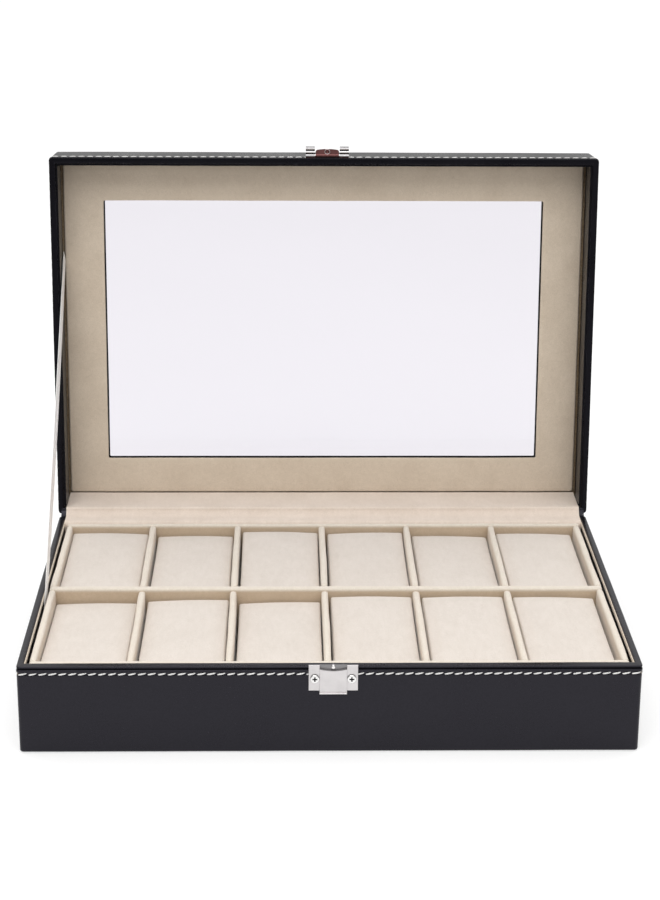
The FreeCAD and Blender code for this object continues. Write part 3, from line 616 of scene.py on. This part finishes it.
def in_slot(d, z, rim):
    # Whether a point of a wall's section, d in from the outer face, lies down in the slot.
    return d > SLOT_DEPTH / 2 and SLOT_FROM < abs(z - rim) < SLOT_TO


def corner_radius(d, z, rim):
    return SLOT_CORNER if in_slot(d, z, rim) else max(CORNER - max(d, 0.0), 0.02)


def shade_slot_faces(made, profile, rim, ring_size):
    # The faces down in the slot take a leather with almost no gloss, painted shade that keeps the slot
    # dark.
    made.data.materials.append(SLOT_SHADE_LEATHER)
    for k in range(len(profile) - 1):
        if in_slot(*profile[k], rim) and in_slot(*profile[k + 1], rim):
            for face in made.data.polygons[k * ring_size:(k + 1) * ring_size]:
                face.material_index = 1


def base_cover():
    rim = BASE_HEIGHT
    inner = BASE_WALL
    profile = [(inner, rim - 12.0), (inner, rim - 8.0), (inner, rim - 4.0)]
    profile += arc_profile(inner - INNER_ROUND, rim - INNER_ROUND, INNER_ROUND, 0, 90, 4)
    profile += [(inner - RIM_FOLD, rim + 0.03), (inner - RIM_MIDDLE, rim + 0.04)]
    profile += arc_profile(EDGE_ROUND, rim - EDGE_ROUND, EDGE_ROUND, 90, 180, 4)[:-1]
    profile += wall_face(rim - EDGE_ROUND, 2.0, -1)
    profile += arc_profile(UNDER_ROUND, UNDERSIDE + UNDER_ROUND, UNDER_ROUND, 180, 270, 4)
    profile += [(inset, UNDERSIDE) for inset in (4.0, 9.0, UNDER_BORDER)]
    profile += [(UNDER_BORDER, UNDER_ROUND)]
    loops = []
    for d, z in profile:
        # The front rim is folded wider than the others, and a little higher.
        share = min(max((d - RIM_FOLD) / (inner - RIM_FOLD), 0.0), 1.0)
        fold = FRONT_FOLD * share if z > rim - FOLD_DEPTH else 0.0
        ring = shifted(loop(HALF_W - d, HALF_D - d - fold / 2, corner_radius(d, z, rim), z), fold / 2)
        if fold > 0:
            rise = FRONT_RISE * fold / FRONT_FOLD
            ring = [(x, y, h + rise if y < FRONT_BAND - HALF_D else h) for x, y, h in ring]
        loops.append(ring)
    made = make("base_cover", *skin(loops), LEATHER, "leather", "base", ["base_leather_wrap"], sharp=60)
    shade_slot_faces(made, profile, rim, len(loops[0]))
    ripple(made, LEATHER_RIPPLE, LEATHER_RIPPLE_SIZE, 3.0)


def lid_cover():
    rim = LID_RIM
    inner = LID_WALL
    profile = [(inner, 73.0), (inner, 66.0), (inner, 58.0), (inner, 52.0), (inner, rim + 3.0)]
    profile += arc_profile(inner - INNER_ROUND, rim + INNER_ROUND, INNER_ROUND, 0, -90, 4)
    profile += [(inner - RIM_FOLD, rim - 0.03), (inner - RIM_MIDDLE, rim - 0.03)]
    profile += arc_profile(EDGE_ROUND, rim + EDGE_ROUND, EDGE_ROUND, 270, 180, 4)[:-1]
    profile += wall_face(rim + EDGE_ROUND, LID_TOP - 3.0, 1)
    profile += arc_profile(LID_ROUND, LID_TOP - LID_ROUND, LID_ROUND, 180, 90, 6)
    profile += [(inset, LID_TOP + 0.02) for inset in (4.0, 8.0, 13.0, 18.0, 22.5)]
    profile = [(max(d, KEEPER_CLEAR), z) if z < KEEPER_TOP else (d, z) for d, z in profile]
    loops = [loop(LID_HALF_W - d, HALF_D - d, corner_radius(d, z, rim), z) for d, z in profile]
    for angle in quarter_turn(4):
        back = WINDOW_ROUND * (1 - math.sin(angle))
        z = LID_TOP - WINDOW_ROUND + WINDOW_ROUND * math.cos(angle)
        loops.append(loop(WINDOW_X + back, WINDOW_Y + back, WINDOW_CORNER, z))
    # Down through the window and out under the top: how far back, share of the lip, and height.
    turned_in = (
        (0.0, 0.30, 77.2),
        (0.0, 0.65, 75.8),
        (0.0, 0.94, 74.7),
        (0.1, 1.0, LID_CEILING + 0.12),
        (4.0, 0.5, LID_CEILING + 0.06),
        (9.5, 0.0, LID_CEILING + 0.06),
    )
    for back, lip, z in turned_in:
        half_x = WINDOW_X + back - LIP_X * lip
        half_y = WINDOW_Y + back - LIP_LOW / 2 * lip
        ring = loop(half_x, half_y, WINDOW_CORNER + 0.3 * back, z)
        loops.append(shifted(ring, -LIP_LOW / 2 * lip))
    made = make("lid_cover", *skin(loops), LID_LEATHER, "leather", "lid", ["lid_leather_wrap"], lid=True,
                sharp=60)
    shade_slot_faces(made, profile, rim, len(loops[0]))
    ripple(made, LEATHER_RIPPLE, LEATHER_RIPPLE_SIZE, 8.0)


# Stitching

def stitch(centre, along, outward, up, wobble):
    # One slanting stitch of two-ply thread, thick in the middle, its ends dipping into the leather.
    rings = 9
    sides = 10
    points = []
    faces = []
    half = STITCH_LENGTH / 2 * (1 + 0.05 * wobble)
    for k in range(rings):
        t = -1 + 2 * k / (rings - 1)
        lift = STITCH_LIFT * (1 - t ** 4) - STITCH_SINK
        rise = STITCH_RISE / 2 * (t + 0.35 * t ** 3) / 1.35
        mid = centre + along * (half * t) + up * (rise + 0.06 * wobble) + outward * lift
        taper = math.sqrt(max(1 - abs(t) ** 3, 0.04)) * (1 - 0.16 * t)
        for i in range(sides):
            angle = 2 * math.pi * i / sides
            ply = 0.84 + 0.16 * abs(math.cos(angle - 4.2 * t))
            radius = STITCH_RADIUS * taper * ply
            points.append(mid + up * (radius * math.cos(angle)) + outward * (radius * math.sin(angle)))
    for k in range(rings - 1):
        for i in range(sides):
            j = (i + 1) % sides
            faces.append((k * sides + i, (k + 1) * sides + i, (k + 1) * sides + j, k * sides + j))
    faces.append(tuple(range(sides)))
    faces.append(tuple(range((rings - 1) * sides, rings * sides))[::-1])
    return [tuple(p) for p in points], faces


def stitch_row(name, z, up, body, lid, half_w, skips):
    # Stitches along all four walls at one height, left out where metal covers them.
    dice = random.Random(name)
    sides = (
        ("front", Vector((0, -1, 0)), HALF_D, half_w),
        ("right", Vector((1, 0, 0)), half_w, HALF_D),
        ("back", Vector((0, 1, 0)), HALF_D, half_w),
        ("left", Vector((-1, 0, 0)), half_w, HALF_D),
    )
    groups = []
    for side, outward, distance, half in sides:
        along = up.cross(outward)
        reach = 2 * half - STITCH_ENDS
        count = round(reach / STITCH_PITCH)
        for i in range(count):
            s = (i - (count - 1) / 2) * reach / count
            centre = outward * (distance - STITCH_INSET) + along * s + Vector((0, 0, z))
            low = centre[0] - STITCH_LENGTH / 2
            high = centre[0] + STITCH_LENGTH / 2
            if any(where == side and low > a and high < b for where, a, b in skips):
                continue
            groups.append(stitch(centre, along, outward, up, dice.uniform(-1, 1)))
    make(name, *merged(groups), THREAD, "ribbon", body, lid=lid, sharp=80)


base_cover()
lid_cover()
hasp_span = ("front", HASP_X - HASP_HALF, HASP_X + HASP_HALF)
hinge_spans = [("back", x - HINGE_HALF, x + HINGE_HALF) for x in (-HINGE_X, HINGE_X)]
stitch_row("base_stitches", BASE_HEIGHT - STITCH_DROP, Vector((0, 0, 1)), "base", False, HALF_W,
           [hasp_span] + hinge_spans)
stitch_row("lid_stitches", LID_RIM + STITCH_DROP, Vector((0, 0, -1)), "lid", True, LID_HALF_W,
           [hasp_span] + hinge_spans)


# Velvet boards of the tray

BOARD_ROUND = 1.5
BOARD_WAVE = 0.16
SIDE_THICK = 3.4
BACK_CREASE = 0.8
FRONT_DIP = 0.5
REAR_DIP = 0.25
SIDE_DIP = 0.2


def in_mm(node):
    low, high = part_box(node)
    return [c / MM for c in low], [c / MM for c in high]


def tray_board(node, seed, dip=0.0, dip_ends=(False, False), crease=0.0):
    low, high = in_mm(node)
    high[1] -= crease
    board = soft_board(low, high, BOARD_ROUND - crease / 3, BOARD_WAVE, seed, dip=dip, dip_ends=dip_ends)
    make("velvet_" + node, *board, TRAY_VELVET, "tray_velvet", "base", [node], sharp=70)


tray_board("tray_front_liner", 1)
tray_board("tray_back_liner", 2, crease=BACK_CREASE)
tray_board("long_divider", 3)
for i in range(1, 6):
    tray_board("short_divider_front_%d" % i, 10 + i, FRONT_DIP, (False, True))
    tray_board("short_divider_rear_%d" % i, 20 + i, REAR_DIP)
side_low, side_high = in_mm("tray_side_liners")
divide_low, divide_high = in_mm("long_divider")
side_xs = ((side_low[0], side_low[0] + SIDE_THICK), (side_high[0] - SIDE_THICK, side_high[0]))
side_ys = ((side_low[1], divide_low[1]), (divide_high[1], side_high[1]))
side_boards = []
for k, (x0, x1) in enumerate(side_xs):
    for m, (y0, y1) in enumerate(side_ys):
        corners = ((x0, y0, side_low[2]), (x1, y1, side_high[2]))
        side_boards.append(soft_board(*corners, BOARD_ROUND, BOARD_WAVE, 31 + 2 * k + m, dip=SIDE_DIP))
make("velvet_tray_side_liners", *merged(side_boards), TRAY_VELVET, "tray_velvet", "base",
     ["tray_side_liners"], sharp=70)


# Velvet edges on the base's side walls, beside the tray

EDGE_IN = 146.05
EDGE_OUT = 146.6
EDGE_FRONT = -96.4
EDGE_BACK = 96.5
EDGE_LOW = 43.4
EDGE_TOP = 45.2
EDGE_SOFT = 0.25
EDGE_WAVE = 0.04
edge_boards = []
for k, (x0, x1) in enumerate(((-EDGE_OUT, -EDGE_IN), (EDGE_IN, EDGE_OUT))):
    corners = ((x0, EDGE_FRONT, EDGE_LOW), (x1, EDGE_BACK, EDGE_TOP))
    edge_boards.append(soft_board(*corners, EDGE_SOFT, EDGE_WAVE, 61 + k, step=5.0))
make("velvet_base_edges", *merged(edge_boards), LID_VELVET, "tray_velvet", "base", sharp=70)


# Lining of the lid

LINING_RIPPLE = 0.12
LINING_RIPPLE_SIZE = 26.0
STRIP_ROUND = 0.45
STRIP_WAVE = 0.08


def lid_lining():
    out_x = 145.9
    out_top = 94.6
    out_low = 94.9
    hole_x = 123.75
    hole_top = 74.5
    hole_low = 74.6
    out_edge = 0.9
    hole_edge = 0.6
    out_corner = 1.2
    hole_corner = 0.8
    out_y = (out_top + out_low) / 2
    out_shift = (out_low - out_top) / 2
    hole_y = (hole_top + hole_low) / 2
    hole_shift = (hole_low - hole_top) / 2
    loops = [loop(out_x, out_y, out_corner, z) for z in (LID_CEILING - 0.1, LINING_Z + out_edge)]
    for angle in quarter_turn(4)[1:]:
        back = out_edge * (1 - math.cos(angle))
        z = LINING_Z + out_edge - out_edge * math.sin(angle)
        loops.append(loop(out_x - back, out_y - back, out_corner, z))
    loops = [shifted(ring, out_shift) for ring in loops]
    for share in (0.2, 0.4, 0.6, 0.8):
        ring = loop(out_x + (hole_x - out_x) * share, out_y + (hole_y - out_y) * share, 1.0, LINING_Z)
        loops.append(shifted(ring, out_shift + (hole_shift - out_shift) * share))
    for angle in quarter_turn(4):
        back = hole_edge * (1 - math.sin(angle))
        z = LINING_Z + hole_edge - hole_edge * math.cos(angle)
        loops.append(shifted(loop(hole_x + back, hole_y + back, hole_corner, z), hole_shift))
    loops.append(shifted(loop(hole_x + 0.02, hole_y + 0.02, hole_corner, GLASS_LOW - 0.02), hole_shift))
    points, faces = skin(loops)
    made = make("velvet_lid_frame", points, [f[::-1] for f in faces], LID_VELVET, "lid_velvet", "lid",
                ["lid_lining_frame"], lid=True, sharp=60)
    ripple(made, LINING_RIPPLE, LINING_RIPPLE_SIZE, 5.0)


def wall_strip(node, boxes):
    # Leather strips along the inside of the lid's walls, each given by two corners.
    boards = []
    for k, (low, high) in enumerate(boxes):
        boards.append(soft_board(low, high, STRIP_ROUND, STRIP_WAVE, 51 + k, step=5.0))
    make("inside_" + node, *merged(boards), LID_LEATHER, "leather", "lid", [node], lid=True, sharp=70)


lid_lining()
in_x = LID_HALF_W - LID_WALL
in_y = HALF_D - LID_WALL
strip_low = LID_RIM + 1.5
strip_high = LID_RIM + 16.0
wall_strip("lid_front_lining", [((1 - in_x, -in_y, strip_low), (in_x - 1, 1 - in_y, strip_high))])
wall_strip("lid_side_linings", [((-in_x, -in_y, strip_low), (1 - in_x, in_y - 1, strip_high)),
                                ((in_x - 1, -in_y, strip_low), (in_x, in_y - 1, strip_high))])


# Strip over the hinge line

def eased(points, times):
    # Cuts the corners of an open line, keeping its ends.
    for _ in range(times):
        out = [points[0]]
        for a, b in zip(points, points[1:]):
            out.append(tuple(0.75 * p + 0.25 * q for p, q in zip(a, b)))
            out.append(tuple(0.25 * p + 0.75 * q for p, q in zip(a, b)))
        points = out + [points[-1]]
    return points


def sheet_faces(rows, columns):
    # Both sides and the border of a thin sheet given as two layers of rows of points.
    faces = []
    width = columns + 1
    total = rows * width
    for r in range(rows - 1):
        for c in range(columns):
            quad = (r * width + c, r * width + c + 1, (r + 1) * width + c + 1, (r + 1) * width + c)
            faces.append(quad)
            faces.append(tuple(i + total for i in reversed(quad)))
    border = list(range(width))
    border += [r * width + columns for r in range(1, rows)]
    border += [(rows - 1) * width + c for c in range(columns - 1, -1, -1)]
    border += [r * width for r in range(rows - 2, 0, -1)]
    for a, b in zip(border, border[1:] + border[:1]):
        faces.append((b, a, a + total, b + total))
    return faces


def sheet_points(path, reach, columns, half, wander):
    # Two layers of points, each half away from a path in y and z, from side to side of the box.
    points = []
    last = len(path) - 1
    for side in (1, -1):
        for r, (y, z) in enumerate(path):
            a = path[max(r - 1, 0)]
            b = path[min(r + 1, last)]
            slope = Vector((b[0] - a[0], b[1] - a[1])).normalized()
            for c in range(columns + 1):
                x = -reach + 2 * reach * c / columns
                off = side * half + wander * noise.noise(Vector((x * 0.04, y * 0.08, z * 0.08)))
                points.append((x, y - slope[1] * off, z + slope[0] * off))
    return points


def hinge_strip():
    half = 0.25
    wall_y = in_y - half
    rim_z = LID_RIM - half
    top_z = BASE_HEIGHT + half
    rail_y = 91.05
    bend_y = 99.2
    path = [
        (rail_y, 35.5),
        (rail_y, 41.5),
        (rail_y, 43.6),
        (91.75, 45.15),
        (93.3, top_z),
        (95.5, top_z),
        (bend_y, top_z),
        swing((0, in_y + LID_WALL / 2, rim_z))[1:],
        swing((0, wall_y, rim_z))[1:],
        swing((0, wall_y, LID_RIM + 6.0))[1:],
        swing((0, wall_y - 0.9, LINING_Z - 10.0))[1:],
        swing((0, wall_y - 1.9, LINING_Z - 0.2))[1:],
    ]
    path = eased(path, 3)
    reach = 146.2
    columns = 96
    points = sheet_points(path, reach, columns, half=0.22, wander=0.12)
    faces = sheet_faces(len(path), columns)
    made = make("hinge_strip", points, faces, LIT_STRIP_VELVET, "tray_velvet", None, ["hinge_lining"], sharp=75)
    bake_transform(made)


hinge_strip()


def hinge_backing():
    # Thin leather under the strip, closing the hinge line out to the corners.
    bend_y = 99.4
    base_z = BASE_HEIGHT + 0.02
    lid_z = LID_RIM - 0.04
    path = [
        (95.6, base_z),
        (bend_y, base_z),
        swing((0, bend_y, lid_z))[1:],
        swing((0, in_y + 0.05, lid_z))[1:],
        swing((0, in_y - 0.05, LID_RIM + 3.0))[1:],
    ]
    path = eased(path, 2)
    reach = 149.0
    columns = 40
    points = sheet_points(path, reach, columns, half=0.06, wander=0.0)
    faces = sheet_faces(len(path), columns)
    made = make("hinge_backing", points, faces, LEATHER, "leather", None, sharp=75)
    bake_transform(made)


hinge_backing()


# Ribbon that stops the lid

def stay_ribbon():
    foot = Vector((-145.5, -8.7, BASE_HEIGHT))
    top = Vector(swing((-145.7, -40.1, LID_RIM + 18.1)))
    along = (top - foot).normalized()
    across = Vector((0, -along[2], along[1]))
    aside = Vector((1, 0, 0))
    low_tail = 24.0
    high_tail = 4.5
    half_width = 5.0
    half_thick = 0.12
    most_twist = math.radians(-3.0)
    most_bow = 0.2
    most_curl = 0.1
    length = (top - foot).length
    total = low_tail + length + high_tail
    rows = 120
    columns = 8
    points = []
    for side in (1, -1):
        for r in range(rows + 1):
            s = -low_tail + total * r / rows
            share = min(max(s / length, 0.0), 1.0)
            free = math.sin(math.pi * share)
            twist = most_twist * free
            bow = most_bow * free
            for c in range(columns + 1):
                w = -half_width + 2 * half_width * c / columns
                curl = most_curl * free * (w / half_width) ** 2
                wide = across * math.cos(twist) + aside * math.sin(twist)
                point = foot + along * s + wide * w + aside * (side * half_thick + bow + curl)
                points.append(tuple(point))
    faces = sheet_faces(rows + 1, columns)
    made = make("satin_ribbon", points, faces, SATIN, "ribbon", None, ["stay_ribbon"], sharp=75)
    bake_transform(made)


stay_ribbon()


# Pillows

PILLOW_HALF_X = 21.3
PILLOW_HALF_Y = 42.4
PILLOW_TOP = 41.9
PILLOW_SINK = 1.2
PILLOW_ROUND = 1.1
PILLOW_STEP = 2.4
PILLOW_CROWN = 0.75
PILLOW_DRAWN_X = 0.22
PILLOW_DRAWN_Y = 0.3
PILLOW_SHAKE = 0.03
PILLOW_CAP = 0.3
PILLOW_FRONT = 41.2
PILLOW_LIFT = 0.5
PILLOW_UNEVEN = 0.5
CLOTH_GROW = 10.0
CLOTH_FRAMES = 20
# Height of the rear edge of each pillow's top, from left to right
PILLOW_REAR = {
    "front": (38.6, 40.4, 39.0, 42.4, 42.2, 41.8),
    "rear": (41.8, 40.0, 42.6, 42.0, 39.8, 41.3),
}


def pillow_block():
    # A stuffed block before it is blown up: round edges, sides drawn in between the corners.
    low = (-PILLOW_HALF_X, -PILLOW_HALF_Y, PAD_TOP)
    high = (PILLOW_HALF_X, PILLOW_HALF_Y, PILLOW_TOP - PILLOW_SINK)
    grid = [steps(a, b, PILLOW_ROUND, PILLOW_ROUND, PILLOW_STEP) for a, b in zip(low, high)]
    points, faces = lattice(*grid)
    shaped = []
    for p in points:
        x, y, z = rounded(p, low, high, PILLOW_ROUND)
        u = x / PILLOW_HALF_X
        v = y / PILLOW_HALF_Y
        h = (z - low[2]) / (high[2] - low[2])
        x -= PILLOW_DRAWN_X * u * (1 - v * v)
        y -= PILLOW_DRAWN_Y * v * (1 - u * u) * math.sin(math.pi * h)
        z += PILLOW_CROWN * max(h, 0.0) ** 3 * (1 - u * u) * (1 - 0.25 * v * v)
        shaped.append((x, y, z))
    return shaped, faces


def blown(points, faces, seed):
    # Cloth pressed out from inside, with the foot held, kept within the place and capped in its movement.
    mesh = bpy.data.meshes.new("blown")
    dice = random.Random(seed)
    start = []
    for p in points:
        shake = Vector([dice.uniform(-1, 1) for _ in range(3)])
        start.append(Vector(p) + shake * PILLOW_SHAKE)
    mesh.from_pydata([p * MM * CLOTH_GROW for p in start], [], faces)
    mesh.update()
    bag = bpy.data.objects.new("blown", mesh)
    scene.collection.objects.link(bag)
    foot = bag.vertex_groups.new(name="foot")
    foot.add([i for i, p in enumerate(points) if p[2] < PAD_TOP + 1.0], 1.0, "REPLACE")
    cloth = bag.modifiers.new("Cloth", "CLOTH")
    setting = cloth.settings
    setting.quality = 6
    setting.mass = 0.3
    setting.tension_stiffness = 18.0
    setting.compression_stiffness = 18.0
    setting.shear_stiffness = 6.0
    setting.bending_stiffness = 0.6
    setting.use_pressure = True
    setting.uniform_pressure_force = 4.0
    setting.vertex_group_mass = "foot"
    setting.effector_weights.gravity = 0.0
    cloth.collision_settings.use_collision = False
    cloth.point_cache.frame_start = 1
    cloth.point_cache.frame_end = CLOTH_FRAMES
    for number in range(1, CLOTH_FRAMES + 1):
        scene.frame_set(number)
    seen = bag.evaluated_get(bpy.context.evaluated_depsgraph_get())
    after = [v.co / (MM * CLOTH_GROW) for v in seen.data.vertices]
    scene.frame_set(1)
    bpy.data.objects.remove(bag)
    moved = []
    for p, q in zip(points, after):
        x = min(max(q[0], -PILLOW_HALF_X), PILLOW_HALF_X)
        y = min(max(q[1], -PILLOW_HALF_Y), PILLOW_HALF_Y)
        step = Vector((x, y, q[2])) - Vector(p)
        step *= PILLOW_CAP / max(PILLOW_CAP, step.length)
        moved.append(tuple(Vector(p) + step))
    return moved


def pillows():
    points, faces = pillow_block()
    shapes = [blown(points, faces, seed) for seed in (11, 12, 13)]
    dice = random.Random(5)
    number = 0
    for row in ("front", "rear"):
        for i in range(6):
            node = "pillow_%s_%d" % (row, i + 1)
            low, high = in_mm(node)
            centre = [(a + b) / 2 for a, b in zip(low, high)]
            shape = shapes[number % len(shapes)]
            flip_x = -1 if number % 2 else 1
            flip_y = -1 if (number // 2) % 2 else 1
            rear = PILLOW_REAR[row][i]
            front = PILLOW_FRONT + dice.uniform(-PILLOW_UNEVEN, PILLOW_UNEVEN)
            lean = dice.uniform(-PILLOW_UNEVEN, PILLOW_UNEVEN)
            placed = []
            for x, y, z in shape:
                x *= flip_x
                y *= flip_y
                share = max(z - PAD_TOP, 0.0) / (PILLOW_TOP - PAD_TOP)
                v = y / PILLOW_HALF_Y
                target = front + (rear - front) * (v + 1) / 2 + lean * x / PILLOW_HALF_X
                z += share * (target - PILLOW_TOP + PILLOW_LIFT)
                placed.append((centre[0] + x, centre[1] + y, z))
            faces_here = faces
            if flip_x * flip_y < 0:
                faces_here = [f[::-1] for f in faces]
            made = make("velvet_" + node, placed, faces_here, PILLOW_VELVET, "pillow_velvet", node, [node],
                        sharp=80)
            smooth = made.modifiers.new("Subdivision", "SUBSURF")
            smooth.levels = 1
            smooth.render_levels = 1
            number += 1


pillows()


# Bead round the flap's hole, which drops over the stud, and the dimple pressed behind it

def revolved(profile, centre, sides):
    # A closed profile of radius and height turned about an upright axis.
    points = []
    for k in range(sides):
        angle = 2 * math.pi * k / sides
        for radius, height in profile:
            points.append((centre[0] + radius * math.cos(angle), centre[1] + radius * math.sin(angle),
                           centre[2] + height))
    n = len(profile)
    faces = []
    for k in range(sides):
        for i in range(n):
            j = (i + 1) % n
            after = (k + 1) % sides
            faces.append((k * n + i, after * n + i, after * n + j, k * n + j))
    return points, faces


def flap_dimple():
    hole = (HASP_X, -104.4, 47.9)
    sides = 36
    bead_radius = 1.36
    bead = 0.24
    bead_drop = 0.42
    bead_sides = 10
    ring = []
    for k in range(bead_sides):
        angle = 2 * math.pi * k / bead_sides
        ring.append((bead_radius + bead * math.cos(angle), -bead_drop + bead * math.sin(angle)))
    make("flap_bead", *revolved(ring, hole, sides), BEAD_NICKEL, "chrome", "hasp", lid=True, sharp=80)
    lift = 0.3
    outer_radius = 1.4
    outer_height = 0.9
    inner_radius = 1.16
    inner_height = 0.68
    cap = []
    for angle in quarter_turn(6):
        cap.append((max(outer_radius * math.cos(angle), 0.02), lift + outer_height * math.sin(angle)))
    for angle in reversed(quarter_turn(6)):
        cap.append((max(inner_radius * math.cos(angle), 0.01), lift + inner_height * math.sin(angle)))
    make("flap_dimple", *revolved(cap, hole, sides), FLAP_NICKEL, "chrome", "hasp", lid=True, sharp=80)


flap_dimple()


# Stage, light and camera

FLOOR_REACH = 7.0
# The floor turns from its far tone to its near one between these places along y, in millimetres.
FLOOR_FAR = -1300.0
FLOOR_NEAR = -500.0
FLOOR_GLOW = 0.5
FLOOR_FAR_GLOW = 0.3
FLOOR_FAR_TONE = (0.3, 0.3, 0.3)
WORLD_FRONT = 0.25
WORLD_BEHIND = 0.66
WORLD_ABOVE = 0.86
TOP_POWER = 5.0
KEY_POWER = 9.8
FRONT_POWER = 2.5
# Camera, fitted to the box's corners: place in millimetres, pitch, yaw and roll, focal length in pixels
EYE = (-21.06, -995.05, 462.54)
LOOK = (18.9862, 1.2880, 0.4140)
FOCAL = 2054.22
FRAME_HEIGHT = 900.0
SENSOR = 36.0


def floor():
    # Pale near the box, and a darker grey far in front of it, which the front wall reflects.
    mesh = bpy.data.meshes.new("floor")
    corners = [(x * FLOOR_REACH, y * FLOOR_REACH, 0) for x, y in ((-1, -1), (1, -1), (1, 1), (-1, 1))]
    mesh.from_pydata(corners, [], [(0, 1, 2, 3)])
    made, tree, bsdf = shader("floor_white", (0.5, 0.5, 0.5), 0.8, Specular_IOR_Level=0.1)
    near = height_mask(tree, "Y", FLOOR_FAR, FLOOR_NEAR)
    shade = noise_at(tree, place(tree), 2.0, 2.0)
    pale = ramp(tree, shade, [(0.3, (0.49, 0.49, 0.49)), (0.7, (0.51, 0.51, 0.51))])
    tree.links.new(blend_colours(tree, near, FLOOR_FAR_TONE, pale), bsdf.inputs["Base Color"])
    bsdf.inputs["Emission Color"].default_value = (1.0, 1.0, 1.0, 1.0)
    glow = spread_value(tree, near, FLOOR_FAR_GLOW, FLOOR_GLOW, 0.0, 1.0)
    tree.links.new(glow, bsdf.inputs["Emission Strength"])
    mesh.materials.append(made)
    plane = bpy.data.objects.new("floor", mesh)
    scene.collection.objects.link(plane)


def studio_world():
    world = bpy.data.worlds.new("studio")
    scene.world = world
    world.use_nodes = True
    tree = world.node_tree
    back = tree.nodes["Background"]
    coords = add(tree, "ShaderNodeTexCoord")
    split = add(tree, "ShaderNodeSeparateXYZ")
    tree.links.new(coords.outputs["Generated"], split.inputs["Vector"])
    behind = spread_value(tree, split.outputs["Y"], WORLD_FRONT, WORLD_BEHIND, -0.6, 0.4)
    above = spread_value(tree, split.outputs["Z"], 0.0, WORLD_ABOVE, 0.2, 0.9)
    level = add(tree, "ShaderNodeMath", operation="ADD")
    tree.links.new(behind, level.inputs[0])
    tree.links.new(above, level.inputs[1])
    tree.links.new(level.outputs[0], back.inputs["Strength"])
    back.inputs["Color"].default_value = (1.0, 0.995, 0.99, 1.0)


def area(name, where, target, size, power):
    light = bpy.data.lights.new(name, "AREA")
    light.shape = "RECTANGLE"
    light.size, light.size_y = size
    light.energy = power
    made = bpy.data.objects.new(name, light)
    scene.collection.objects.link(made)
    made.location = where
    made.rotation_euler = (Vector(target) - Vector(where)).to_track_quat("-Z", "Y").to_euler()


def camera():
    eye = Vector(EYE) * MM
    pitch, yaw, roll = (math.radians(a) for a in LOOK)
    level = math.cos(pitch)
    forward = Vector((math.sin(yaw) * level, math.cos(yaw) * level, -math.sin(pitch)))
    right = Vector((math.cos(yaw), -math.sin(yaw), 0))
    up = right.cross(forward)
    turned_right = right * math.cos(roll) + up * math.sin(roll)
    turned_up = up * math.cos(roll) - right * math.sin(roll)
    data = bpy.data.cameras.new("camera")
    data.sensor_width = SENSOR
    data.lens = FOCAL * SENSOR / FRAME_HEIGHT
    data.clip_start = 0.05
    made = bpy.data.objects.new("camera", data)
    scene.collection.objects.link(made)
    made.matrix_world = Matrix((
        (turned_right[0], turned_up[0], -forward[0], eye[0]),
        (turned_right[1], turned_up[1], -forward[1], eye[1]),
        (turned_right[2], turned_up[2], -forward[2], eye[2]),
        (0, 0, 0, 1),
    ))
    scene.camera = made


floor()
studio_world()
area("top_light", (-0.1, -0.25, 1.7), (0, 0.0, 0.05), (1.8, 1.5), TOP_POWER)
area("key_light", (-0.35, -1.25, 1.55), (0, 0.05, 0.12), (1.2, 0.9), KEY_POWER)
area("front_light", (0.5, -1.5, 0.9), (0, 0, 0.08), (0.9, 0.9), FRONT_POWER)
camera()
scene.view_settings.view_transform = "Standard"
